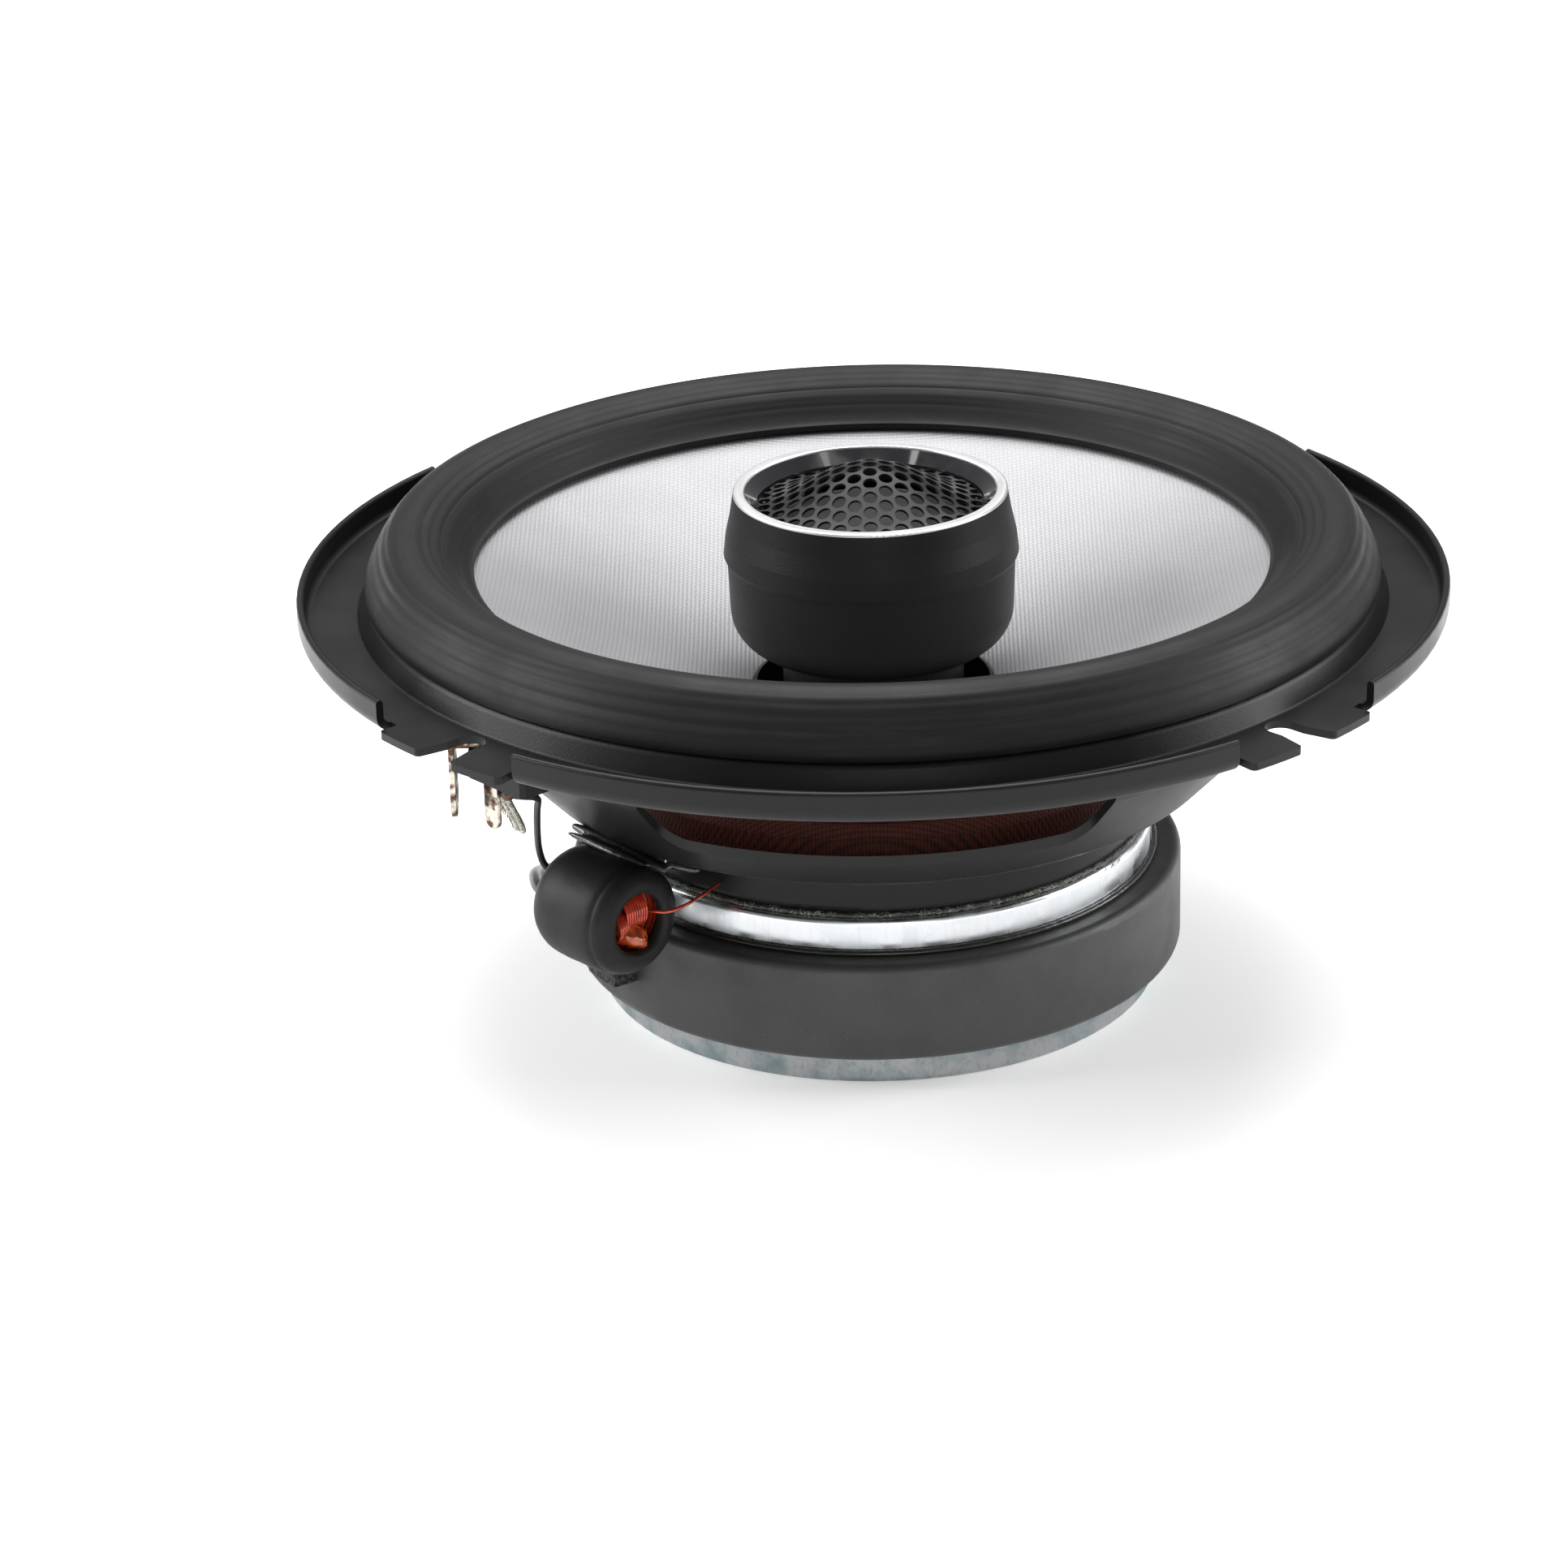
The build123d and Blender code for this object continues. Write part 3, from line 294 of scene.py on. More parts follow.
def build_weave(name):
    """Plain weave from two thread coordinates: the yarns' height and which yarn is on top."""
    tree, given, out = effect_tree(name, [("Pitch", "NodeSocketFloat", 0.001)], "Height", "Yarn", "Over")
    along, across, _ = separated(tree, given["Vector"])
    along, across = along / given["Pitch"], across / given["Pitch"]
    warp, weft = [(thread * pi).math("SINE").math("ABSOLUTE") for thread in (along, across)]
    over = (along.math("FLOOR") + across.math("FLOOR")).math("PINGPONG", 1.0)
    under = 1.0 - over
    warp_height = warp * (over * weft * 0.6 + 0.4)
    weft_height = weft * (under * warp * 0.6 + 0.4)
    height = warp_height.math("MAXIMUM", weft_height)
    return give(tree, out, Height=height, Yarn=height.math("POWER", 0.7), Over=over)


def build_grain(name):
    """Fine moulded or sprayed texture, with slow changes of tone and gloss over it."""
    tree, given, out = effect_tree(
        name, [("Grain", "NodeSocketFloat", 0.0003), ("Patches", "NodeSocketFloat", 0.012)], "Height", "Tone")
    fine = texture(tree, given["Vector"], given["Grain"], 2.0)
    return give(tree, out, Height=fine, Tone=texture(tree, given["Vector"], given["Patches"], 3.0))


def build_streaks(name):
    """Marks drawn out along one direction, as plating runs or machining leaves."""
    tree, given, out = effect_tree(
        name, [("Stretch", "NodeSocketVector", (1.0, 1.0, 0.05)), ("Width", "NodeSocketFloat", 0.0004)],
        "Height", "Mask")
    drawn = node(tree, "ShaderNodeVectorMath", {0: given["Vector"], 1: given["Stretch"]}, operation="MULTIPLY")
    fine = texture(tree, drawn, given["Width"], 3.0)
    return give(tree, out, Height=fine, Mask=node(tree, "ShaderNodeMapRange", {0: fine, 1: 0.5, 2: 0.72}))


EFFECTS = {"Plain Weave": build_weave, "Fine Grain": build_grain, "Drawn Streaks": build_streaks}


# ---- materials ---------------------------------------------------------------------------------

class Finish:
    """A material under construction: its shader, its Object coordinates and its effects."""

    def __init__(self, name, rgba, roughness, metallic=0.0, **fixed):
        self.material = bpy.data.materials.new(name)
        self.material.use_nodes = True
        self.tree = self.material.node_tree
        self.shader = self.tree.nodes["Principled BSDF"]
        self.set("Base Color", tuple(rgba))
        self.set("Roughness", roughness)
        self.set("Metallic", metallic)
        for key, value in fixed.items():
            self.set(key.replace("_", " "), value)
        self.place = node(self.tree, "ShaderNodeTexCoord", output="Object")

    def set(self, socket, value):
        connect(self.tree, self.shader.inputs[socket], value)

    def effect(self, name, **values):
        values.setdefault("Vector", self.place)
        return signals(self.tree, add(self.tree, "ShaderNodeGroup", values, node_tree=effect(name)).outputs)

    def ramp(self, value, low, high, out_low, out_high):
        return node(self.tree, "ShaderNodeMapRange", {0: value, 1: low, 2: high, 3: out_low, 4: out_high})

    def rough(self, value, low, high, smoothest, roughest):
        self.set("Roughness", self.ramp(value, low, high, smoothest, roughest))

    def mix(self, factor, first, second):
        return node(self.tree, "ShaderNodeMix", {0: factor, 6: first, 7: second}, output=2, data_type="RGBA")

    def mottle(self, value, low, high, first, second, most=1.0):
        """Two colours, the second taking over as a value goes from low to high."""
        return self.mix(self.ramp(value, low, high, 0.0, most), first, second)

    def noise(self, size, detail=2.0, vector=None):
        return texture(self.tree, vector or self.place, size, detail)

    def turned(self):
        """A turned piece's own coordinates: angle about the axis, radius and height."""
        x, y, height = separated(self.tree, self.place)
        flat = node(self.tree, "ShaderNodeCombineXYZ", {0: x, 1: y})
        radius = node(self.tree, "ShaderNodeVectorMath", {0: flat}, output="Value", operation="LENGTH")
        return y.math("ARCTAN2", x), radius, height

    def drawn_round(self, arc):
        """Coordinates that draw a texture out round the axis: an arc stands for a radian."""
        angle, radius, height = self.turned()
        return node(self.tree, "ShaderNodeCombineXYZ", {0: angle * arc, 1: radius, 2: height})

    def bump(self, height, strength, distance):
        values = {"Height": height, "Strength": strength, "Distance": distance}
        self.set("Normal", node(self.tree, "ShaderNodeBump", values))
        return self.material


def darker(rgba, factor):
    return (rgba[0] * factor, rgba[1] * factor, rgba[2] * factor, 1.0)


def grained(name, rgba, roughness, grain, strength, spread=0.08, tone=1.5, **fixed):
    """A plain coat or moulding with fine texture, and slow changes of tone and gloss."""
    made = Finish(name, rgba, roughness, Specular_IOR_Level=0.22, **fixed)
    look = made.effect("Fine Grain", Grain=grain)
    made.set("Base Color", made.mottle(look["Tone"], 0.3, 0.7, tuple(rgba), darker(rgba, tone)))
    made.rough(look["Tone"], 0.3, 0.7, roughness - spread, roughness + spread)
    return made.bump(look["Height"], strength, grain * 0.5)


def zinc_material(name, rgba, stretch, rough, marks=0.25, clouding=0.5):
    """Bright zinc plate: runs in the plating, a cloudy blue-green tint and small scuffs."""
    made = Finish(name, rgba, rough, metallic=1.0)
    runs = made.effect("Drawn Streaks", Stretch=stretch, Width=0.6 * MM)
    cloud = made.noise(5 * MM, 4.0)
    cool = (rgba[0] * 0.62, rgba[1] * 0.75, rgba[2] * 0.75, 1.0)
    tint = made.mottle(cloud, 0.42, 0.62, tuple(rgba), cool, clouding)
    made.set("Base Color", made.mottle(runs["Mask"], 0.0, 1.0, tint, darker(rgba, 0.4), marks))
    made.rough(cloud, 0.35, 0.65, rough - 0.06, rough + 0.14)
    return made.bump(runs["Height"], 0.16, 0.03 * MM)


def ferrite_material(rgba):
    made = Finish("ground_ferrite", rgba, 0.5)
    speck = made.noise(0.35 * MM, 3.0)
    cloud = made.noise(9 * MM, 4.0)
    base = made.mottle(cloud, 0.35, 0.65, tuple(rgba), darker(rgba, 0.8))
    made.set("Base Color", made.mottle(speck, 0.62, 0.72, base, darker(rgba, 1.7), 0.6))
    made.rough(cloud, 0.3, 0.7, 0.42, 0.58)
    return made.bump(speck, 0.25, 0.06 * MM)


def glossy_glue_material(name, rgba, rough=0.12):
    made = Finish(name, rgba, rough, Coat_Weight=0.5, Coat_Roughness=0.05)
    made.rough(made.noise(1.6 * MM), 0.35, 0.65, rough, rough + 0.25)
    return made.bump(made.noise(0.9 * MM, 3.0), 0.35, 0.12 * MM)


def speckled_glue_material(rgba):
    """Dried glue with pale grit in a nearly black body."""
    made = Finish("motor_glue", rgba, 0.45)
    grit = made.noise(0.28 * MM, 3.0)
    pale = made.mottle(grit, 0.5, 0.62, darker(rgba, 0.1), darker(rgba, 1.5))
    made.set("Base Color", made.mottle(made.noise(3 * MM), 0.4, 0.6, pale, darker(rgba, 0.08), 0.8))
    return made.bump(grit, 0.8, 0.2 * MM)


def rubber_material(rgba):
    """Moulded rubber with faint dusty marks drawn out round it."""
    made = Finish("moulded_rubber", rgba, 0.5, Specular_IOR_Level=0.2)
    look = made.effect("Fine Grain", Grain=0.22 * MM, Patches=9 * MM)
    drawn = made.noise(0.8 * MM, 3.0, made.drawn_round(4 * MM))
    made.set("Base Color", made.mottle(drawn, 0.5, 0.75, tuple(rgba), darker(rgba, 2.0), 0.5))
    made.rough(look["Tone"], 0.3, 0.7, 0.44, 0.58)
    return made.bump(look["Height"], 0.3, 0.06 * MM)


def cloth_material(name, yarn, shade, pitch, rough, metallic, depth, weave_fade=0.0):
    """Woven cloth seen square on: yarns with their own tone, dark between them."""
    made = Finish(name, yarn, rough, metallic)
    weave = made.effect("Plain Weave", Pitch=pitch)
    body = made.mottle(made.noise(10 * MM, 3.0), 0.35, 0.65, tuple(yarn), darker(yarn, 0.82), 0.35)
    body = made.mottle(weave["Over"], 0.0, 1.0, body, darker(yarn, 0.75), 0.16)
    gap = made.ramp(weave["Yarn"], 0.25, 0.8, 1.0, 0.0)
    if weave_fade:
        gap = gap * made.ramp(made.turned()[1], 0.02, 0.055, 1.0, weave_fade)
    made.set("Base Color", made.mix(gap, body, tuple(shade)))
    made.rough(made.noise(0.25 * MM), 0.3, 0.7, rough - 0.06, rough + 0.08)
    return made.bump(weave["Height"], 0.5, depth)


def chrome_material(rgba):
    made = Finish("trim_chrome", rgba, 0.3, metallic=1.0)
    brushed = made.noise(0.25 * MM, vector=made.drawn_round(0.5 * MM))
    made.rough(brushed, 0.3, 0.7, 0.34, 0.42)
    dull = made.ramp(brushed, 0.35, 0.65, 0.3, 0.0)
    made.set("Base Color", made.mix(dull, tuple(rgba), darker(rgba, 0.85)))
    return made.bump(brushed, 0.03, 0.005 * MM)


def gloss_material(rgba):
    made = Finish("bezel_gloss", rgba, 0.1, Coat_Weight=0.6, Coat_Roughness=0.04)
    made.rough(made.noise(6 * MM, 4.0), 0.4, 0.65, 0.06, 0.26)
    return made.bump(made.noise(2.5 * MM), 0.06, 0.08 * MM)


def foam_material():
    rgba = (0.012, 0.012, 0.012, 1.0)
    made = Finish("open_cell_foam", rgba, 0.95)
    cells = node(made.tree, "ShaderNodeTexVoronoi", {"Vector": made.place, "Scale": 1 / (0.55 * MM)}, "Distance")
    made.set("Base Color", made.mottle(cells, 0.2, 0.7, darker(rgba, 0.4), darker(rgba, 4.5)))
    return made.bump(cells, 0.9, 0.4 * MM)


def tinned_material(tin, brass):
    """Tinned brass, worn and fluxed to brown in patches."""
    made = Finish("tinned_brass", tin, 0.32, metallic=1.0)
    patch = made.noise(1.7 * MM, 4.0)
    bright = made.mottle(made.noise(0.3 * MM), 0.3, 0.7, tuple(tin), darker(tin, 0.55), 0.5)
    made.set("Base Color", made.mottle(patch, 0.46, 0.56, bright, tuple(brass)))
    made.rough(patch, 0.4, 0.6, 0.26, 0.55)
    return made.bump(patch, 0.5, 0.18 * MM)


def enamel_material(rgba):
    made = Finish("enamelled_copper", rgba, 0.22, metallic=0.4, Coat_Weight=0.8, Coat_Roughness=0.1)
    made.set("Base Color", made.mottle(made.noise(1.6 * MM), 0.3, 0.7, darker(rgba, 1.1), darker(rgba, 0.6)))
    return made.bump(made.noise(0.5 * MM), 0.05, 0.02 * MM)


def resin_material(rgba):
    made = Finish("amber_resin", rgba, 0.08, Coat_Weight=1.0, Coat_Roughness=0.03)
    made.set("Base Color", made.mottle(made.noise(2 * MM, 3.0), 0.3, 0.7, darker(rgba, 1.5), darker(rgba, 0.4)))
    return made.bump(made.noise(1.5 * MM), 0.2, 0.15 * MM)


def braid_material(rgba):
    made = Finish("silver_braid", rgba, 0.3, metallic=1.0)
    tone = made.noise(0.5 * MM, 3.0)
    made.set("Base Color", made.mottle(tone, 0.35, 0.65, tuple(rgba), darker(rgba, 0.3)))
    made.rough(tone, 0.3, 0.7, 0.22, 0.45)
    return made.bump(tone, 0.4, 0.05 * MM)


# ---- putting pieces in place -------------------------------------------------------------------

def paint(node, material):
    """Gives a CAD node its finish through its own material slots."""
    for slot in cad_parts[node].material_slots:
        slot.material = material


def plain_piece(maker, name, smooth_angle=40):
    """The maker object's evaluated shape as a plain mesh with outward faces; the maker is removed."""
    bpy.context.view_layer.update()
    depsgraph = bpy.context.evaluated_depsgraph_get()
    mesh = bpy.data.meshes.new_from_object(maker.evaluated_get(depsgraph), depsgraph=depsgraph)
    bpy.data.objects.remove(maker)
    mesh.name = name
    shape = bmesh.new()
    shape.from_mesh(mesh)
    bmesh.ops.remove_doubles(shape, verts=shape.verts, dist=1e-7)
    bmesh.ops.recalc_face_normals(shape, faces=shape.faces)
    shape.to_mesh(mesh)
    shape.free()
    mesh.shade_smooth()
    mesh.set_sharp_from_angle(angle=radians(smooth_angle))
    piece = bpy.data.objects.new(name, mesh)
    bpy.context.scene.collection.objects.link(piece)
    return piece


def settle(piece, body, slot_name, *nodes):
    """Attaches a finished piece to the body it rides on and hides the nodes it stands for; the slot name is not used.
    """
    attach(piece, body)
    if nodes:
        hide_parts(*nodes)
    return piece


def settle_bending(piece, slot_name, weight_of, bodies, *nodes):
    """A piece that bends between two bodies by a share worked out for each of its points."""
    low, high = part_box(nodes[0])
    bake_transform(piece, *bodies, start=low, end=high)
    weights = piece.data.attributes["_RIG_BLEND"].data
    for vertex, weight in zip(piece.data.vertices, weights):
        weight.value = min(1.0, max(0.0, weight_of(vertex.co)))
    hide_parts(*nodes)
    return piece


def holder(name, data):
    made = bpy.data.objects.new(name, data)
    bpy.context.scene.collection.objects.link(made)
    return made


def polyline(name, points, radii=None, cyclic=False):
    """A curve object of one poly spline through points in metres."""
    curve = bpy.data.curves.new(name, "CURVE")
    curve.dimensions = "3D"
    spline = curve.splines.new("POLY")
    spline.points.add(len(points) - 1)
    for index, point in enumerate(points):
        spline.points[index].co = (*point, 1.0)
        spline.points[index].radius = radii[index] if radii else 1.0
    spline.use_cyclic_u = cyclic
    return holder(name, curve)


def route(name, points):
    """A smooth line along a lead's route: a NURBS spline with the route's points, in metres."""
    curve = bpy.data.curves.new(name, "CURVE")
    curve.dimensions = "3D"
    curve.resolution_u = 16
    spline = curve.splines.new("NURBS")
    spline.points.add(len(points) - 1)
    for index, point in enumerate(points):
        spline.points[index].co = (point[0] * MM, point[1] * MM, point[2] * MM, 1.0)
    spline.order_u = 3
    spline.use_endpoint_u = True
    return holder(name, curve)


def run_nodes(maker, tree, **values):
    """Adds a Geometry Nodes modifier with its inputs set by their identifiers."""
    modifier = maker.modifiers.new(tree.name, "NODES")
    modifier.node_group = tree
    identifiers = {item.name: item.identifier for item in tree.interface.items_tree if item.in_out == "INPUT"}
    for name, value in values.items():
        modifier[identifiers[name.replace("_", " ")]] = value
    return maker


# ---- geometry node trees -----------------------------------------------------------------------

def geometry_tree(name, inputs):
    """A Geometry Nodes tree that is given a shape and a material."""
    sockets = [("Geometry", "NodeSocketGeometry", None), *inputs, ("Material", "NodeSocketMaterial", None)]
    return group_tree("GeometryNodeTree", name, sockets, [("Geometry", "NodeSocketGeometry")])


def close_tree(tree, given, out, geometry):
    """Ends a tree in Realize Instances and Set Material."""
    realized = node(tree, "GeometryNodeRealizeInstances", {0: geometry})
    finished = node(tree, "GeometryNodeSetMaterial", {0: realized, "Material": given["Material"]})
    return give(tree, out, Geometry=finished)


def put(tree, geometry, **where):
    return node(tree, "GeometryNodeSetPosition", {0: geometry, **where})


def merged(tree, geometry, distance=1e-6):
    return node(tree, "GeometryNodeMergeByDistance", {0: geometry, "Distance": distance})


def scaled(tree, vector, factor):
    return node(tree, "ShaderNodeVectorMath", {0: vector, "Scale": factor}, operation="SCALE")


def swept(tree, line, radius, sides, caps=True):
    """A round wire along a line."""
    section = node(tree, "GeometryNodeCurvePrimitiveCircle", {"Resolution": sides, "Radius": radius})
    return node(tree, "GeometryNodeCurveToMesh", {"Curve": line, "Profile Curve": section, "Fill Caps": caps})


def grid_steps(tree, rows):
    """A grid point's column and row, from its index and the number of points in a column."""
    index = node(tree, "GeometryNodeInputIndex")
    column = (index / rows).math("FLOOR")
    return column, index - column * rows


def turning_tree():
    """Turns a closed outline about the axis, then lets the surface wander by a fixed noise."""
    tree, given, out = geometry_tree("Turned Outline", [
        ("Segments", "NodeSocketInt", 256), ("Wander", "NodeSocketFloat", 0.0),
        ("Wander Size", "NodeSocketFloat", 0.002)])
    count = node(tree, "GeometryNodeAttributeDomainSize", {0: given["Geometry"]}, "Point Count", component="CURVE")
    stride = count + 1.0
    grid = node(tree, "GeometryNodeMeshGrid", {"Vertices X": given["Segments"] + 1.0, "Vertices Y": stride})
    step, row = grid_steps(tree, stride)
    position = node(tree, "GeometryNodeInputPosition")
    outline = node(
        tree, "GeometryNodeSampleIndex", {0: given["Geometry"], "Value": position, "Index": row.math("MODULO", count)},
        data_type="FLOAT_VECTOR", domain="POINT")
    angle = step * (2 * pi) / given["Segments"]
    turned = node(tree, "ShaderNodeVectorRotate", {"Vector": outline, "Angle": angle}, rotation_type="Z_AXIS")
    body = merged(tree, put(tree, grid, Position=turned))
    rough = node(tree, "ShaderNodeTexNoise", {
        "Vector": position, "Scale": 1.0 / given["Wander Size"], "Detail": 3.0}, 1)
    centred = node(tree, "ShaderNodeVectorMath", {0: rough, 1: (0.5, 0.5, 0.5)}, operation="SUBTRACT")
    return close_tree(tree, given, out, put(tree, body, Offset=scaled(tree, centred, given["Wander"] * 2.0)))


def winding_tree():
    """Layers of round wire turns about the local Z axis."""
    tree, given, out = geometry_tree("Wound Wire", [
        ("Turns", "NodeSocketInt", 20), ("Layers", "NodeSocketInt", 3), ("Inner Radius", "NodeSocketFloat", 0.0026),
        ("Wire Radius", "NodeSocketFloat", 0.0003)])
    pitch = given["Wire Radius"] * 2.03
    grid = node(tree, "GeometryNodeMeshGrid", {
        "Vertices X": given["Turns"], "Vertices Y": given["Layers"], "Size X": 0.0, "Size Y": 0.0})
    turn, layer = grid_steps(tree, given["Layers"])
    middle = (given["Turns"] - 1.0) / 2.0
    level = (turn - middle + layer.math("PINGPONG", 1.0) * 0.5) * pitch
    points = put(tree, grid, Position=node(tree, "ShaderNodeCombineXYZ", {2: level}))
    radius = layer * (pitch * 0.88) + given["Inner Radius"]
    circle = node(tree, "GeometryNodeCurvePrimitiveCircle", {"Resolution": 64, "Radius": 1.0})
    turns = node(tree, "GeometryNodeInstanceOnPoints", {"Points": points, "Instance": circle, "Scale": radius})
    turns = node(tree, "GeometryNodeRealizeInstances", {0: turns})
    return close_tree(tree, given, out, swept(tree, turns, given["Wire Radius"], 8, False))


def strand_tree():
    """Strands twisted about the line of a lead."""
    tree, given, out = geometry_tree("Twisted Strands", [
        ("Strands", "NodeSocketInt", 7), ("Lay Radius", "NodeSocketFloat", 0.0003),
        ("Strand Radius", "NodeSocketFloat", 0.00015), ("Twist Length", "NodeSocketFloat", 0.006)])
    line = node(tree, "GeometryNodeResampleCurve", {0: given["Geometry"], "Length": 0.0005}, mode="LENGTH")
    copies = add(tree, "GeometryNodeDuplicateElements", {0: line, "Amount": given["Strands"]}, domain="SPLINE")
    lines, number = signals(tree, copies.outputs).values()
    run = node(tree, "GeometryNodeSplineParameter", output="Length")
    angle = (number / given["Strands"] + run / given["Twist Length"]) * (2 * pi)
    side = node(tree, "ShaderNodeVectorRotate", {
        "Vector": node(tree, "GeometryNodeInputNormal"), "Axis": node(tree, "GeometryNodeInputTangent"),
        "Angle": angle}, rotation_type="AXIS_ANGLE")
    strands = put(tree, lines, Offset=scaled(tree, side, given["Lay Radius"]))
    return close_tree(tree, given, out, swept(tree, strands, given["Strand Radius"], 8))


def sleeving_tree():
    """A round jacket along the line of a lead."""
    tree, given, out = geometry_tree("Lead Jacket", [("Radius", "NodeSocketFloat", 0.0005)])
    line = node(tree, "GeometryNodeResampleCurve", {0: given["Geometry"], "Length": 0.0006}, mode="LENGTH")
    return close_tree(tree, given, out, swept(tree, line, given["Radius"], 16))


def perforating_tree():
    """Sheet with a triangular grid of round holes, from one six-sided cell, pressed to a bell-shaped dome."""
    tree, given, out = geometry_tree("Perforated Dome", [
        ("Pitch", "NodeSocketFloat", 0.0022), ("Rows", "NodeSocketInt", 17), ("Field Radius", "NodeSocketFloat", 0.0152),
        ("Radius", "NodeSocketFloat", 0.0161), ("Seat", "NodeSocketFloat", 0.072), ("Rise", "NodeSocketFloat", 0.0045),
        ("Flare", "NodeSocketFloat", 1.3), ("Gauge", "NodeSocketFloat", 0.0004)])
    grid = node(tree, "GeometryNodeMeshGrid", {"Vertices X": given["Rows"], "Vertices Y": given["Rows"]})
    column, row = grid_steps(tree, given["Rows"])
    middle = (given["Rows"] - 1.0) / 2.0
    across = (column - middle) * (given["Pitch"] * cos(pi / 6))
    along = (row - middle + column.math("PINGPONG", 1.0) * 0.5) * given["Pitch"]
    points = put(tree, grid, Position=node(tree, "ShaderNodeCombineXYZ", {0: across, 1: along}))
    position = node(tree, "GeometryNodeInputPosition")
    distance = node(tree, "ShaderNodeVectorMath", {0: position}, "Value", operation="LENGTH")
    outside = node(tree, "FunctionNodeCompare", {0: distance, 1: given["Field Radius"]}, operation="GREATER_THAN")
    points = node(tree, "GeometryNodeDeleteGeometry", {0: points, "Selection": outside})
    cells = node(tree, "GeometryNodeInstanceOnPoints", {"Points": points, "Instance": given["Geometry"]})
    sheet = merged(tree, node(tree, "GeometryNodeRealizeInstances", {0: cells}), 2e-5)
    x, y, _ = separated(tree, position)
    ratio = (distance / given["Radius"]).math("MINIMUM", 1.0)
    height = given["Rise"] * (1.0 - ratio * ratio).math("POWER", given["Flare"]) + given["Seat"]
    held = (given["Radius"] / distance.math("MAXIMUM", 1e-6)).math("MINIMUM", 1.0)
    pressed = node(tree, "ShaderNodeCombineXYZ", {0: x * held, 1: y * held, 2: height})
    sheet = put(tree, sheet, Position=pressed)
    upper = node(tree, "GeometryNodeExtrudeMesh", {"Mesh": sheet, "Offset Scale": given["Gauge"], "Individual": False})
    lower = node(tree, "GeometryNodeFlipFaces", {0: sheet})
    both = add(tree, "GeometryNodeJoinGeometry")
    connect(tree, both.inputs[0], upper)
    connect(tree, both.inputs[0], lower)
    return close_tree(tree, given, out, merged(tree, Signal(tree, both.outputs[0])))


TREES = {}


def tree_named(builder):
    if builder not in TREES:
        TREES[builder] = builder()
    return TREES[builder]


def turned_piece(name, outline, material, segments=256, wander=0.0, wander_size=2.0, smooth_angle=40):
    """A turned piece from a closed outline of (radius, height) points in millimetres."""
    maker = polyline(name + "_outline", [(r * MM, 0.0, z * MM) for r, z in outline], cyclic=True)
    run_nodes(
        maker, tree_named(turning_tree), Segments=segments, Wander=wander * MM, Wander_Size=wander_size * MM,
        Material=material)
    return plain_piece(maker, name, smooth_angle)


def smooth_line(points, steps=6):
    """Points eased through a coarse line of (x, z) pairs."""
    ends = [points[0], *points, points[-1]]
    eased = []
    for before, start, end, after in zip(ends, ends[1:], ends[2:], ends[3:]):
        for step in range(steps):
            t = step / steps
            weights = (
                (-t ** 3 + 2 * t ** 2 - t) / 2, (3 * t ** 3 - 5 * t ** 2 + 2) / 2,
                (-3 * t ** 3 + 4 * t ** 2 + t) / 2, (t ** 3 - t ** 2) / 2)
            near = (before, start, end, after)
            eased.append(tuple(sum(w * p[axis] for w, p in zip(weights, near)) for axis in (0, 1)))
    return eased + [points[-1]]


def thickened(line, wall):
    """A closed outline around an open line, a wall thick, on the side to its right."""
    inner = []
    for index, (x, z) in enumerate(line):
        back, ahead = line[max(index - 1, 0)], line[min(index + 1, len(line) - 1)]
        run = Vector((ahead[0] - back[0], ahead[1] - back[1])).normalized()
        inner.append((x - run[1] * wall, z + run[0] * wall))
    return list(line) + inner[::-1]


def material_of(name):
    return bpy.data.materials[name]


def moved(piece, matrix):
    """Puts a piece that was made about the origin where it belongs, in its mesh."""
    piece.data.transform(matrix)
    return piece


# ---- pieces ------------------------------------------------------------------------------------

class SpeakerOperator:
    """What every operator of this add-on shares."""

    bl_options = {"REGISTER", "UNDO"}

    def execute(self, context):
        self.make(context.scene)
        return {"FINISHED"}


class SPEAKER_OT_motor(SpeakerOperator, bpy.types.Operator):
    """Finish the ferrite, the plated plates and the glue squeezed out between them"""

    bl_idname = "speaker.motor"
    bl_label = "Motor"

    def make(self, scene):
        sizes = scene.speaker_motor
        zinc = zinc_material("zinc_plate", sizes.zinc, (1.0, 1.0, 0.06), 0.24, 0.1, 0.12)
        rear = zinc_material("zinc_back_plate", darker(sizes.zinc, 0.55), (1.0, 1.0, 0.7), 0.4, 0.35, 1.0)
        paint("top_plate", zinc)
        paint("yoke", rear)
        paint("post_screw", rear)
        paint("magnet", ferrite_material(sizes.ferrite))
        glue = speckled_glue_material(sizes.glue)
        dark = glossy_glue_material("dark_glue", darker(sizes.glue, 0.07), 0.35)
        for node, material in (("yoke_adhesive", dark), ("magnet_adhesive", dark), ("plate_adhesive", glue)):
            low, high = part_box(node)
            outer, bottom, top = high.x / MM, low.z / MM, high.z / MM
            bead = sizes.bead / MM
            middle = {"yoke_adhesive": top - 0.35, "magnet_adhesive": bottom + 0.35, "plate_adhesive": bottom + 0.45}[node]
            centre = outer - 1.1 if node != "plate_adhesive" else outer - 0.35
            outline = [(centre + 1.3 * bead * cos(k * pi / 5), middle + bead * sin(k * pi / 5)) for k in range(10)]
            ragged = sizes.ragged / MM * (1.0 if node == "plate_adhesive" else 0.35)
            ring = turned_piece(node + "_bead", outline, material, 720, ragged, 0.9, 80)
            settle(ring, "frame", "black_adhesive", node)


